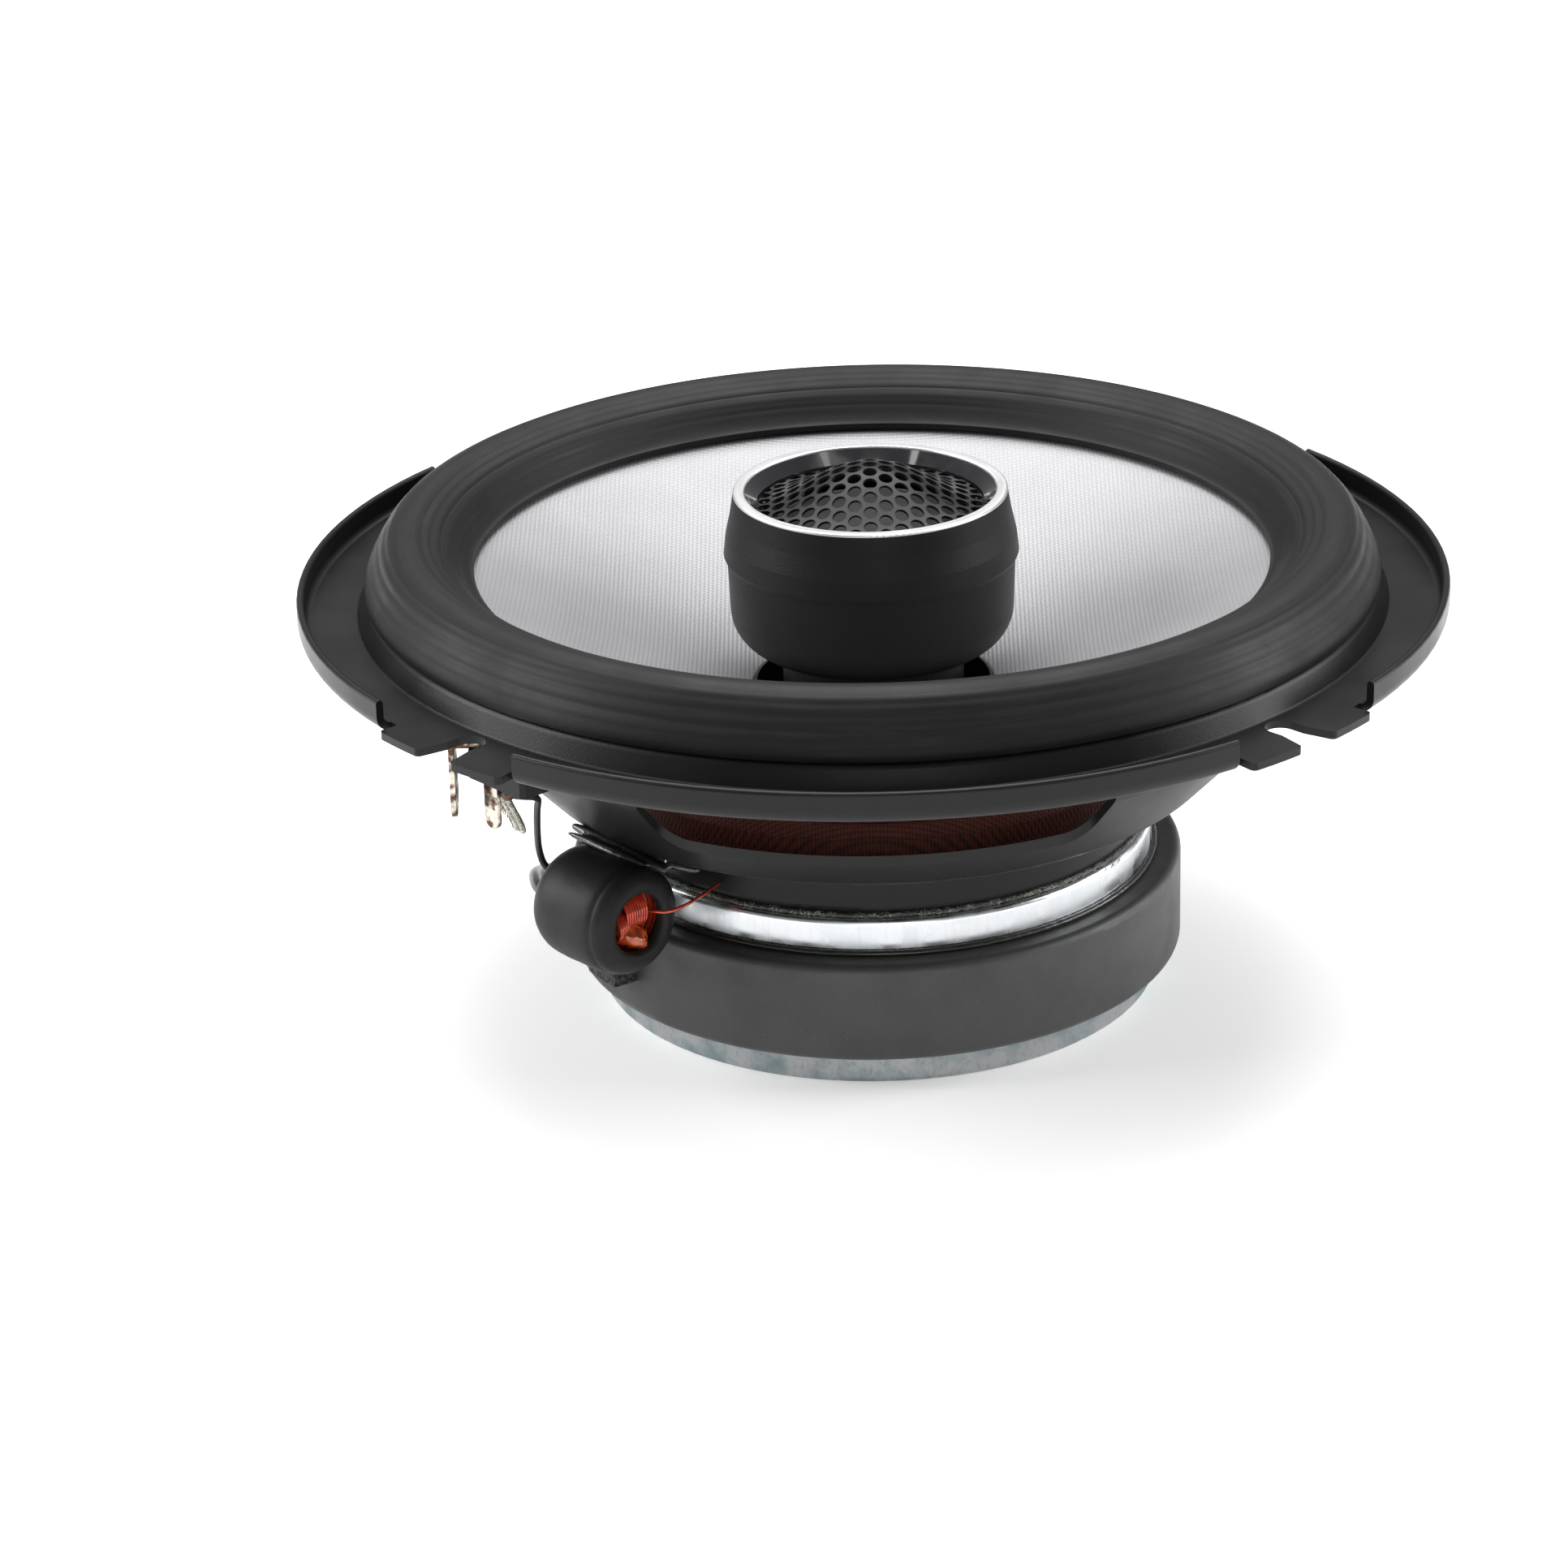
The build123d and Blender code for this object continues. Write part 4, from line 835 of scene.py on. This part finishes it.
class SPEAKER_OT_basket(SpeakerOperator, bpy.types.Operator):
    """Paint the pressed basket"""

    bl_idname = "speaker.basket"
    bl_label = "Basket"

    def make(self, scene):
        sizes = scene.speaker_basket
        paint("basket", grained("satin_black_paint", sizes.paint, sizes.roughness, sizes.grain, 0.12, 0.05, 1.25))


SURROUND_LINE = [
    (71.85, 62.5), (71.8, 63.4), (71.15, 64.9), (70.3, 66.5), (69.4, 68.0), (68.4, 69.1), (67.4, 69.65),
    (66.3, 69.85), (65.1, 69.6), (63.9, 69.1), (62.8, 68.55), (61.6, 67.75), (60.4, 66.5), (59.4, 65.2),
    (58.5, 64.25), (57.8, 63.75), (57.15, 63.6)]
RIBS = (71.1, 70.2, 69.25, 68.35, 65.35, 63.75, 62.6, 61.2)
GROOVES = (70.65, 69.7, 64.55, 62.1, 60.2)


class SPEAKER_OT_surround(SpeakerOperator, bpy.types.Operator):
    """Make the ribbed rubber surround and the glossy glue round its edge"""

    bl_idname = "speaker.surround"
    bl_label = "Surround"

    def make(self, scene):
        sizes = scene.speaker_surround
        rubber = rubber_material(sizes.rubber)
        line = smooth_line(SURROUND_LINE, 8)
        ribbed = []
        for index, (radius, height) in enumerate(line):
            back, ahead = line[max(index - 1, 0)], line[min(index + 1, len(line) - 1)]
            run = Vector((ahead[0] - back[0], ahead[1] - back[1])).normalized()
            lift = sum(2.718 ** -(((radius - rib) / 0.2) ** 2) for rib in RIBS)
            lift -= sum(2.718 ** -(((radius - groove) / 0.24) ** 2) for groove in GROOVES)
            lift *= sizes.rib / MM
            ribbed.append((radius + run[1] * lift, height - run[0] * lift))
        outline = thickened(ribbed, -sizes.wall / MM)
        piece = turned_piece("surround_rubber", outline, rubber, sizes.segments, smooth_angle=60)
        outer, inner = SURROUND_LINE[0][0] * MM, (SURROUND_LINE[-1][0] + 2.0) * MM
        settle_bending(
            piece, "rubber", lambda point: (outer - point.xy.length) / (outer - inner), ("frame", "cone_assembly"),
            "surround")
        glue = glossy_glue_material("edge_glue", sizes.glue, 0.07)
        rim, level = radius_of("surround_gasket") / MM, bottom_of("surround_gasket") / MM
        bead = [(rim - 0.55, level + 0.02), (rim + 0.12, level + 0.02), (rim + 0.2, level + 0.3), (rim, level + 0.75),
                (rim - 0.35, level + 0.95), (rim - 0.6, level + 0.7)]
        ring = turned_piece("surround_edge_glue", bead, glue, 720, 0.2, 5.0, 80)
        settle(ring, "frame", "black_adhesive", "surround_gasket")


class SPEAKER_OT_cone(SpeakerOperator, bpy.types.Operator):
    """Finish the woven cone, its former and the voice coil"""

    bl_idname = "speaker.cone"
    bl_label = "Cone"

    def make(self, scene):
        sizes = scene.speaker_cone
        cloth = cloth_material(
            "cone_weave_cloth", sizes.yarn, sizes.shade, sizes.pitch, 0.42, sizes.sheen, 0.09 * MM, 0.35)
        paint("cone", cloth)
        paint("voice_coil_former", grained("former_film", (0.012, 0.012, 0.012, 1.0), 0.45, 0.3 * MM, 0.1))
        paint("voice_coil", material_of("enamelled_copper"))


class SPEAKER_OT_spider(SpeakerOperator, bpy.types.Operator):
    """Make the corrugated cloth that centres the coil"""

    bl_idname = "speaker.spider"
    bl_label = "Spider"

    def make(self, scene):
        sizes = scene.speaker_spider
        cloth = cloth_material("spider_weave_cloth", sizes.yarn, sizes.shade, sizes.pitch, 0.6, 0.0, 0.12 * MM)
        low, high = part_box("spider")
        outer, bottom, top = high.x / MM, low.z / MM, high.z / MM
        inner = radius_of("voice_coil_former") / MM
        last = outer - 4.6
        middle = bottom + 3.0
        line = [(inner + 0.15, middle + 1.5), (inner + 0.25, middle + 0.4)]
        steps = 90
        for step in range(steps + 1):
            t = step / steps
            radius = inner + 0.8 + (last - inner - 0.8) * t
            line.append((radius, middle + 1.05 * sin(2 * pi * 5.5 * t + pi) * min(1.0, 6 * t)))
        line += [(last + 0.5, bottom + 1.0), (last + 1.0, bottom + 0.45), (outer, bottom + 0.4)]
        piece = turned_piece("spider_cloth_roll", thickened(line, -0.35), cloth, 224, smooth_angle=60)
        far, near = last * MM, (inner + 1.0) * MM
        settle_bending(
            piece, "spider_cloth", lambda point: (far - point.xy.length) / (far - near), ("frame", "cone_assembly"),
            "spider")


class SPEAKER_OT_pod(SpeakerOperator, bpy.types.Operator):
    """Finish the tweeter's pod, its chrome ring and its bezel"""

    bl_idname = "speaker.pod"
    bl_label = "Pod"

    def make(self, scene):
        sizes = scene.speaker_pod
        moulding = grained("pod_moulding", sizes.moulding, 0.47, 0.22 * MM, 0.3, 0.05, 1.35)
        for node in ("pod_cup", "pod_shell", "tweeter_post", "tweeter_faceplate", "terminal_block"):
            paint(node, moulding)
        paint("trim_ring", chrome_material(sizes.chrome))
        paint("bezel", gloss_material(sizes.gloss))


class SPEAKER_OT_grille(SpeakerOperator, bpy.types.Operator):
    """Make the perforated dome over the tweeter"""

    bl_idname = "speaker.grille"
    bl_label = "Grille"

    def make(self, scene):
        sizes = scene.speaker_grille
        steel = grained("grille_paint", sizes.steel, 0.33, 0.12 * MM, 0.2, 0.05, 1.3)
        seat = bottom_of("tweeter_grille")
        edge = radius_of("tweeter_grille")
        maker = holder("grille_cell", bpy.data.meshes.new("grille_cell"))
        shape = bmesh.new()
        hole, rim = [], []
        for step in range(24):
            angle = step * pi / 12
            reach = sizes.pitch / 2 / cos(((angle + radians(60)) % (pi / 3)) - pi / 6)
            hole.append(shape.verts.new((sizes.hole * cos(angle), sizes.hole * sin(angle), 0.0)))
            rim.append(shape.verts.new((reach * cos(angle), reach * sin(angle), 0.0)))
        for step in range(24):
            after = (step + 1) % 24
            shape.faces.new((hole[step], rim[step], rim[after], hole[after]))
        shape.to_mesh(maker.data)
        shape.free()
        run_nodes(
            maker, tree_named(perforating_tree), Pitch=sizes.pitch, Rows=17, Field_Radius=edge + 0.0009,
            Radius=edge - 0.0001, Seat=seat + 0.0001, Rise=sizes.rise, Flare=sizes.flare, Gauge=sizes.gauge,
            Material=steel)
        settle(plain_piece(maker, "grille_dome", 50), "frame", "grille_steel", "tweeter_grille")


class SPEAKER_OT_tweeter(SpeakerOperator, bpy.types.Operator):
    """Finish the tweeter's dome, its edge and its motor"""

    bl_idname = "speaker.tweeter"
    bl_label = "Tweeter"

    def make(self, scene):
        silk = cloth_material(
            "coated_silk", (0.022, 0.022, 0.025, 1.0), (0.008, 0.008, 0.009, 1.0), 0.2 * MM, 0.5, 0.0, 0.03 * MM)
        paint("tweeter_dome", silk)
        paint("tweeter_coil", material_of("enamelled_copper"))
        nickel = zinc_material("nickel_plate", (0.6, 0.6, 0.62, 1.0), (1.0, 1.0, 0.4), 0.25)
        for node in ("tweeter_cup", "tweeter_pole_plate", "tweeter_magnet"):
            paint(node, nickel)
        low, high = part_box("tweeter_edge")
        outer, level = high.x / MM, low.z / MM
        foot = radius_of("tweeter_dome") / MM
        line = smooth_line([
            (foot + 0.1, level + 0.55), (foot + 0.6, level + 1.3), (foot + 1.2, level + 1.3), (foot + 1.8, level + 0.5),
            (outer, level + 0.3)], 6)
        piece = turned_piece("tweeter_roll", thickened(line, -0.2), silk, 192, smooth_angle=60)
        far, near = (outer - 1.2) * MM, (foot + 0.2) * MM
        settle_bending(
            piece, "dome_cloth", lambda point: (far - point.xy.length) / (far - near), ("frame", "tweeter_diaphragm"),
            "tweeter_edge")


class SPEAKER_OT_inductor(SpeakerOperator, bpy.types.Operator):
    """Make the sleeved inductor with its wire, resin, glue and foam"""

    bl_idname = "speaker.inductor"
    bl_label = "Inductor"

    def make(self, scene):
        sizes = scene.speaker_inductor
        enamel = enamel_material(sizes.enamel)
        resin = resin_material(sizes.resin)
        sleeve = grained("shrink_sleeve", sizes.sleeve, 0.5, 0.5 * MM, 0.12, 0.06, 1.3)
        low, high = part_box("inductor_sleeve")
        radius = (high.z - low.z) / 2 / MM
        centre = (low + high) / 2
        axis = Vector((centre.y, -centre.x, 0)).normalized() * -1
        out = Vector((centre.x, centre.y, 0)).normalized()
        if axis.x < 0:
            axis = -axis
        half = ((high.x - low.x) - 2 * radius * MM * abs(out.x)) / 2 / abs(axis.x) / MM
        place = Matrix.Translation(centre) @ Matrix((
            (out.x, 0, axis.x, 0), (out.y, 0, axis.y, 0), (0, 1, 0, 0), (0, 0, 0, 1)))
        mouth = 4.3
        outline = smooth_line([
            (mouth, half - 1.6), (mouth + 0.05, half - 0.6), (mouth + 0.7, half - 0.05), (radius - 2.0, half - 0.25),
            (radius - 0.95, half - 0.95), (radius - 0.5, half - 1.75), (radius - 0.42, half - 2.3),
            (radius - 0.1, half - 3.2), (radius, half - 5.0), (radius, 0.0), (radius, 5.0 - half),
            (radius - 0.25, 2.6 - half), (radius - 1.1, 1.0 - half), (radius - 2.6, 0.2 - half),
            (mouth + 0.7, 0.05 - half), (mouth, 0.8 - half)], 5)
        body = turned_piece("inductor_jacket", thickened(outline, -0.5), sleeve, 160, 0.16, 7.0, 60)
        settle(moved(body, place), "frame", "shrink_sleeve", "inductor_sleeve")

        wire = sizes.wire / MM
        coils = (
            ("bulk", Matrix.Translation((0, 0, -1.6 * MM)), sizes.turns - 3, sizes.layers, 4.4),
            ("upper", Matrix.Translation((-0.7 * MM, 0.9 * MM, (half - 4.3) * MM)) @ Matrix.Rotation(pi / 2, 4, "Y"),
             9, 2, 2.5),
            ("lower", Matrix.Translation((2.3 * MM, -0.6 * MM, (half - 3.3) * MM)) @ Matrix.Rotation(pi / 2.3, 4, "Y"),
             5, 2, 1.7))
        for label, turn, turns, layers, inner in coils:
            maker = polyline("wire_" + label, [(0, 0, 0), (0, 0, MM)])
            thin = wire if label == "bulk" else wire * 0.72
            run_nodes(
                maker, tree_named(winding_tree), Turns=turns, Layers=layers, Inner_Radius=inner * MM,
                Wire_Radius=thin * MM, Material=enamel)
            coil = moved(plain_piece(maker, "wound_wire_" + label), place @ turn)
            settle(coil, "frame", "copper", *(["inductor_winding"] if label == "bulk" else []))
        rod = [(0.05, -half + 1.5), (2.5, -half + 1.5), (2.5, half - 6.0), (0.05, half - 6.0)]
        core = turned_piece("inductor_rod", rod, material_of("ground_ferrite"), 48)
        settle(moved(core, place), "frame", "ferrite", "inductor_core")

        shape = bmesh.new()
        bmesh.ops.create_icosphere(shape, subdivisions=4, radius=1.0)
        for vertex in shape.verts:
            swell = 1.0 + 0.22 * noise.noise(vertex.co * 1.3)
            vertex.co = Vector((vertex.co.x * 3.1, vertex.co.y * 1.7, vertex.co.z * 2.4)) * swell * MM
        mesh = bpy.data.meshes.new("amber_resin_blob")
        shape.to_mesh(mesh)
        shape.free()
        mesh.materials.append(resin)
        mesh.shade_smooth()
        blob = holder("amber_resin_blob", mesh)
        moved(blob, place @ Matrix.Translation((0.3 * MM, -2.3 * MM, (half - 2.5) * MM)) @ Matrix.Rotation(0.5, 4, "Z"))
        settle(blob, "frame", "copper")

        self.glue_strands(centre, axis, out, radius)
        paint("foam_pad", foam_material())
        paint("capacitor", sleeve)

    def glue_strands(self, centre, axis, out, radius):
        """Glossy glue pulled along the seam between the basket and the sleeve."""
        glue = material_of("edge_glue")
        curve = bpy.data.curves.new("glue_strands", "CURVE")
        curve.dimensions = "3D"
        curve.bevel_depth = MM
        curve.bevel_resolution = 3
        strands = (
            ((-9.0, -2.6, 9.2, 0.5), (-5.0, -2.9, 8.6, 1.15), (0.0, -3.1, 8.1, 1.25), (5.0, -3.3, 7.6, 1.0),
             (8.8, -4.2, 7.2, 0.55)),
            ((-8.0, -0.9, 8.9, 0.35), (-3.0, -1.2, 8.6, 0.8), (3.0, -1.7, 8.2, 0.7), (6.5, -2.3, 7.9, 0.3)),
            ((-9.5, -4.3, 9.6, 0.6), (-3.0, -4.9, 8.8, 1.5), (3.0, -5.4, 8.0, 1.5), (9.0, -6.0, 7.8, 0.8)),
            ((8.0, -5.0, 7.6, 0.6), (10.5, -5.8, 7.7, 0.9), (13.0, -6.6, 7.7, 0.35)))
        for strand in strands:
            spline = curve.splines.new("NURBS")
            spline.points.add(len(strand) - 1)
            for index, (along, outward, up, thick) in enumerate(strand):
                point = centre + axis * along * MM + out * outward * MM + Vector((0, 0, up * MM))
                spline.points[index].co = (*point, 1.0)
                spline.points[index].radius = thick
            spline.order_u = 3
            spline.use_endpoint_u = True
        curve.use_fill_caps = True
        maker = plain_piece(holder("glue_strands", curve), "glue_strands")
        remesh = maker.modifiers.new("Remesh", "REMESH")
        remesh.mode = "VOXEL"
        remesh.voxel_size = 0.25 * MM
        piece = plain_piece(maker, "inductor_glue", 80)
        smooth = piece.modifiers.new("Smooth", "SMOOTH")
        smooth.iterations = 6
        smooth.factor = 0.6
        piece = plain_piece(piece, "inductor_glue_strands", 80)
        piece.data.materials.clear()
        piece.data.materials.append(glue)
        settle(piece, "frame", "black_adhesive", "inductor_adhesive")


class SPEAKER_OT_terminals(SpeakerOperator, bpy.types.Operator):
    """Finish the blades, rivets and solder"""

    bl_idname = "speaker.terminals"
    bl_label = "Terminals"

    def make(self, scene):
        sizes = scene.speaker_terminals
        tinned = tinned_material(sizes.tin, sizes.brass)
        browned = Finish("fluxed_solder", darker(sizes.brass, 0.9), 0.35, metallic=0.6)
        browned = browned.bump(browned.noise(0.5 * MM, 3.0), 0.8, 0.2 * MM)
        for node in ("positive_terminal", "negative_terminal"):
            low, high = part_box(node)
            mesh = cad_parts[node].data.copy()
            blade = holder(node + "_blade", mesh)
            shape = bmesh.new()
            shape.from_mesh(mesh)
            bmesh.ops.remove_doubles(shape, verts=shape.verts, dist=1e-6)
            bmesh.ops.dissolve_limit(shape, angle_limit=radians(1), verts=shape.verts, edges=shape.edges)
            shape.to_mesh(mesh)
            shape.free()
            bevel = blade.modifiers.new("Bevel", "BEVEL")
            bevel.width = sizes.bevel
            bevel.segments = 3
            bevel.angle_limit = radians(35)
            blade = plain_piece(blade, node + "_spade", 50)
            blade.data.materials.clear()
            blade.data.materials.append(tinned)
            settle(blade, "frame", "tinned_brass", node)
        paint("terminal_rivets", browned)
        paint("solder_joint", browned)


INPUT_ROUTE = (
    (-51.4, -43.8, 46.8), (-48.9, -44.2, 46.4), (-46.2, -42.4, 45.6), (-46.9, -37.8, 42.0), (-47.4, -33.0, 36.5),
    (-47.7, -28.6, 31.6), (-46.9, -28.0, 28.2), (-43.9, -31.1, 27.2))
COPPER_ROUTE = (
    (-31.7, -41.7, 27.8), (-29.6, -43.4, 28.0), (-26.6, -41.8, 28.5), (-24.2, -37.8, 28.4), (-22.2, -33.5, 28.0))
TINSEL_ROUTE = (
    (-50.9, -42.3, 49.4), (-50.9, -42.3, 46.4), (-50.4, -38.0, 42.2), (-49.6, -33.0, 37.6), (-49.6, -28.0, 33.6),
    (-52.0, -23.0, 35.0), (-55.3, -19.0, 41.0), (-51.5, -15.0, 46.0), (-42.0, -11.0, 47.0), (-30.0, -7.0, 45.0))
TINSEL_SHIFTS = ((0.0, 0.0, -168.0), (-0.89, 0.95, -173.0))
TINSEL_END_LEVEL = 41.9


class SPEAKER_OT_leads(SpeakerOperator, bpy.types.Operator):
    """Make the braided, insulated and enamelled leads along their routes"""

    bl_idname = "speaker.leads"
    bl_label = "Leads"

    def make(self, scene):
        sizes = scene.speaker_leads
        braid = braid_material(sizes.braid)
        jacket = grained("lead_jacket", sizes.jacket, 0.3, 0.4 * MM, 0.1)
        former = radius_of("voice_coil_former") / MM
        inner, outer = (former + 4.0) * MM, 52.0 * MM
        for count, (x, y, azimuth) in enumerate(TINSEL_SHIFTS):
            end = (former * cos(radians(azimuth)), former * sin(radians(azimuth)), TINSEL_END_LEVEL)
            line = [(px + x, py + y, pz) for px, py, pz in TINSEL_ROUTE] + [end]
            name = f"tinsel_braid_{count + 1}"
            maker = run_nodes(
                route(name + "_line", line), tree_named(strand_tree), Strands=sizes.strands, Lay_Radius=0.3 * MM,
                Strand_Radius=sizes.strand, Twist_Length=5.5 * MM, Material=braid)
            settle_bending(
                plain_piece(maker, name), "silver_braid", lambda point: (outer - point.xy.length) / (outer - inner),
                ("frame", "cone_assembly"), "tinsel_leads")
        for name, line, radius, material, slot_name, node in (
                ("input_lead_jacket", INPUT_ROUTE, 0.5, jacket, "lead_insulation", "input_lead"),
                ("inductor_lead_wire", COPPER_ROUTE, 0.24, material_of("enamelled_copper"), "copper", "inductor_lead")):
            maker = run_nodes(
                route(name + "_line", line), tree_named(sleeving_tree), Radius=radius * MM, Material=material)
            settle(plain_piece(maker, name), "frame", slot_name, node)
        for node in ("tweeter_lead", "tweeter_inner_lead"):
            paint(node, jacket)


WHITE = (1.0, 1.0, 1.0, 1.0)
SKY_LIGHT, SKY_SEEN = 0.26, 1.0     # the world's strength as light, and as the camera sees it
FLOOR_REACH = 6.0
FLOOR_GLOW = 0.3
LIT_POINT = Vector((0, 0, 0.04))
LIGHTS = (                          # name, place and size in metres, power in watts
    ("overhead", (0.0, 0.35, 1.0), 1.1, 17.0), ("left_panel", (-0.9, 0.0, 0.45), 0.6, 9.0),
    ("right_panel", (0.95, 0.05, 0.4), 0.6, 8.0), ("front_low", (0.1, -1.0, 0.2), 0.5, 1.6))
CAMERA_TILT, CAMERA_TURN, CAMERA_ROLL = 0.404068, -0.020463, -0.026856
CAMERA_ELEVATION = 0.3894124
CAMERA_LENS, CAMERA_SENSOR = 111.82, 36.0
CAMERA_NEAR = 0.01


class SPEAKER_OT_stage(SpeakerOperator, bpy.types.Operator):
    """Set the floor, the soft lights and the camera"""

    bl_idname = "speaker.stage"
    bl_label = "Stage"

    def make(self, scene):
        sizes = scene.speaker_stage
        floor = Finish("pale_floor", sizes.floor, 0.85)
        tone = floor.mottle(floor.noise(0.4), 0.3, 0.7, tuple(sizes.floor), darker(sizes.floor, 0.985))
        floor.set("Base Color", tone)
        floor.set("Emission Color", WHITE)
        floor.set("Emission Strength", FLOOR_GLOW)
        mesh = bpy.data.meshes.new("floor")
        signs = ((-1, -1), (1, -1), (1, 1), (-1, 1))
        mesh.from_pydata([(x * FLOOR_REACH, y * FLOOR_REACH, 0) for x, y in signs], [], [(0, 1, 2, 3)])
        mesh.materials.append(floor.material)
        holder("floor", mesh)
        self.camera(scene, sizes)
        self.lights(scene)

    def camera(self, scene, sizes):
        """Camera at the viewing angle: lens, tilt, small turn and roll."""
        tilt, turn, roll = CAMERA_TILT, CAMERA_TURN, CAMERA_ROLL
        elevation = CAMERA_ELEVATION
        place = Vector((0, -sizes.reach * cos(elevation), 40 * MM + sizes.reach * sin(elevation)))
        ahead = Vector((sin(turn) * cos(tilt), cos(turn) * cos(tilt), -sin(tilt)))
        right = ahead.cross(Vector((0, 0, 1))).normalized()
        up = right.cross(ahead)
        rolled_right = cos(roll) * right + sin(roll) * up
        rolled_up = cos(roll) * up - sin(roll) * right
        data = bpy.data.cameras.new("camera")
        data.lens = CAMERA_LENS
        data.sensor_width = CAMERA_SENSOR
        data.clip_start = CAMERA_NEAR
        camera = holder("camera", data)
        camera.matrix_world = Matrix.Translation(place) @ Matrix((
            (rolled_right.x, rolled_up.x, -ahead.x, 0), (rolled_right.y, rolled_up.y, -ahead.y, 0),
            (rolled_right.z, rolled_up.z, -ahead.z, 0), (0, 0, 0, 1)))
        scene.camera = camera

    def lights(self, scene):
        world = bpy.data.worlds.new("studio")
        scene.world = world
        world.use_nodes = True
        sky = world.node_tree
        seen = node(sky, "ShaderNodeLightPath", output="Is Camera Ray")
        strength = node(sky, "ShaderNodeMapRange", {0: seen, 3: SKY_LIGHT, 4: SKY_SEEN})
        give(sky, sky.nodes["Background"].inputs, Color=WHITE, Strength=strength)
        scene.view_settings.view_transform = "Standard"
        for name, place, size, power in LIGHTS:
            data = bpy.data.lights.new(name, "AREA")
            data.size = size
            data.energy = power
            lamp = holder(name, data)
            lamp.location = place
            lamp.rotation_euler = (LIT_POINT - Vector(place)).to_track_quat("-Z", "Y").to_euler()


class SPEAKER_PT_panel(bpy.types.Panel):
    """Lists the speaker's pieces with their sizes and colours"""

    bl_idname = "SPEAKER_PT_panel"
    bl_label = "Coaxial Speaker"
    bl_space_type = "VIEW_3D"
    bl_region_type = "UI"
    bl_category = "Speaker"

    def draw(self, context):
        for operator in OPERATORS:
            self.layout.operator(operator.bl_idname)
        for name, group in SETTINGS.items():
            box = self.layout.box()
            for size in group.__annotations__:
                box.prop(getattr(context.scene, name), size)


OPERATORS = (
    SPEAKER_OT_stage, SPEAKER_OT_motor, SPEAKER_OT_basket, SPEAKER_OT_surround, SPEAKER_OT_inductor, SPEAKER_OT_cone,
    SPEAKER_OT_spider, SPEAKER_OT_pod, SPEAKER_OT_grille, SPEAKER_OT_tweeter, SPEAKER_OT_terminals, SPEAKER_OT_leads)


def register():
    for name, group in SETTINGS.items():
        bpy.utils.register_class(group)
        setattr(bpy.types.Scene, name, bpy.props.PointerProperty(type=group))
    for made in (*OPERATORS, SPEAKER_PT_panel):
        bpy.utils.register_class(made)


def unregister():
    for made in (SPEAKER_PT_panel, *reversed(OPERATORS)):
        bpy.utils.unregister_class(made)
    for name, group in reversed(SETTINGS.items()):
        delattr(bpy.types.Scene, name)
        bpy.utils.unregister_class(group)


def main():
    register()
    for operator in OPERATORS:
        module, name = operator.bl_idname.split(".")
        getattr(getattr(bpy.ops, module), name)()


if __name__ == "__main__":
    main()
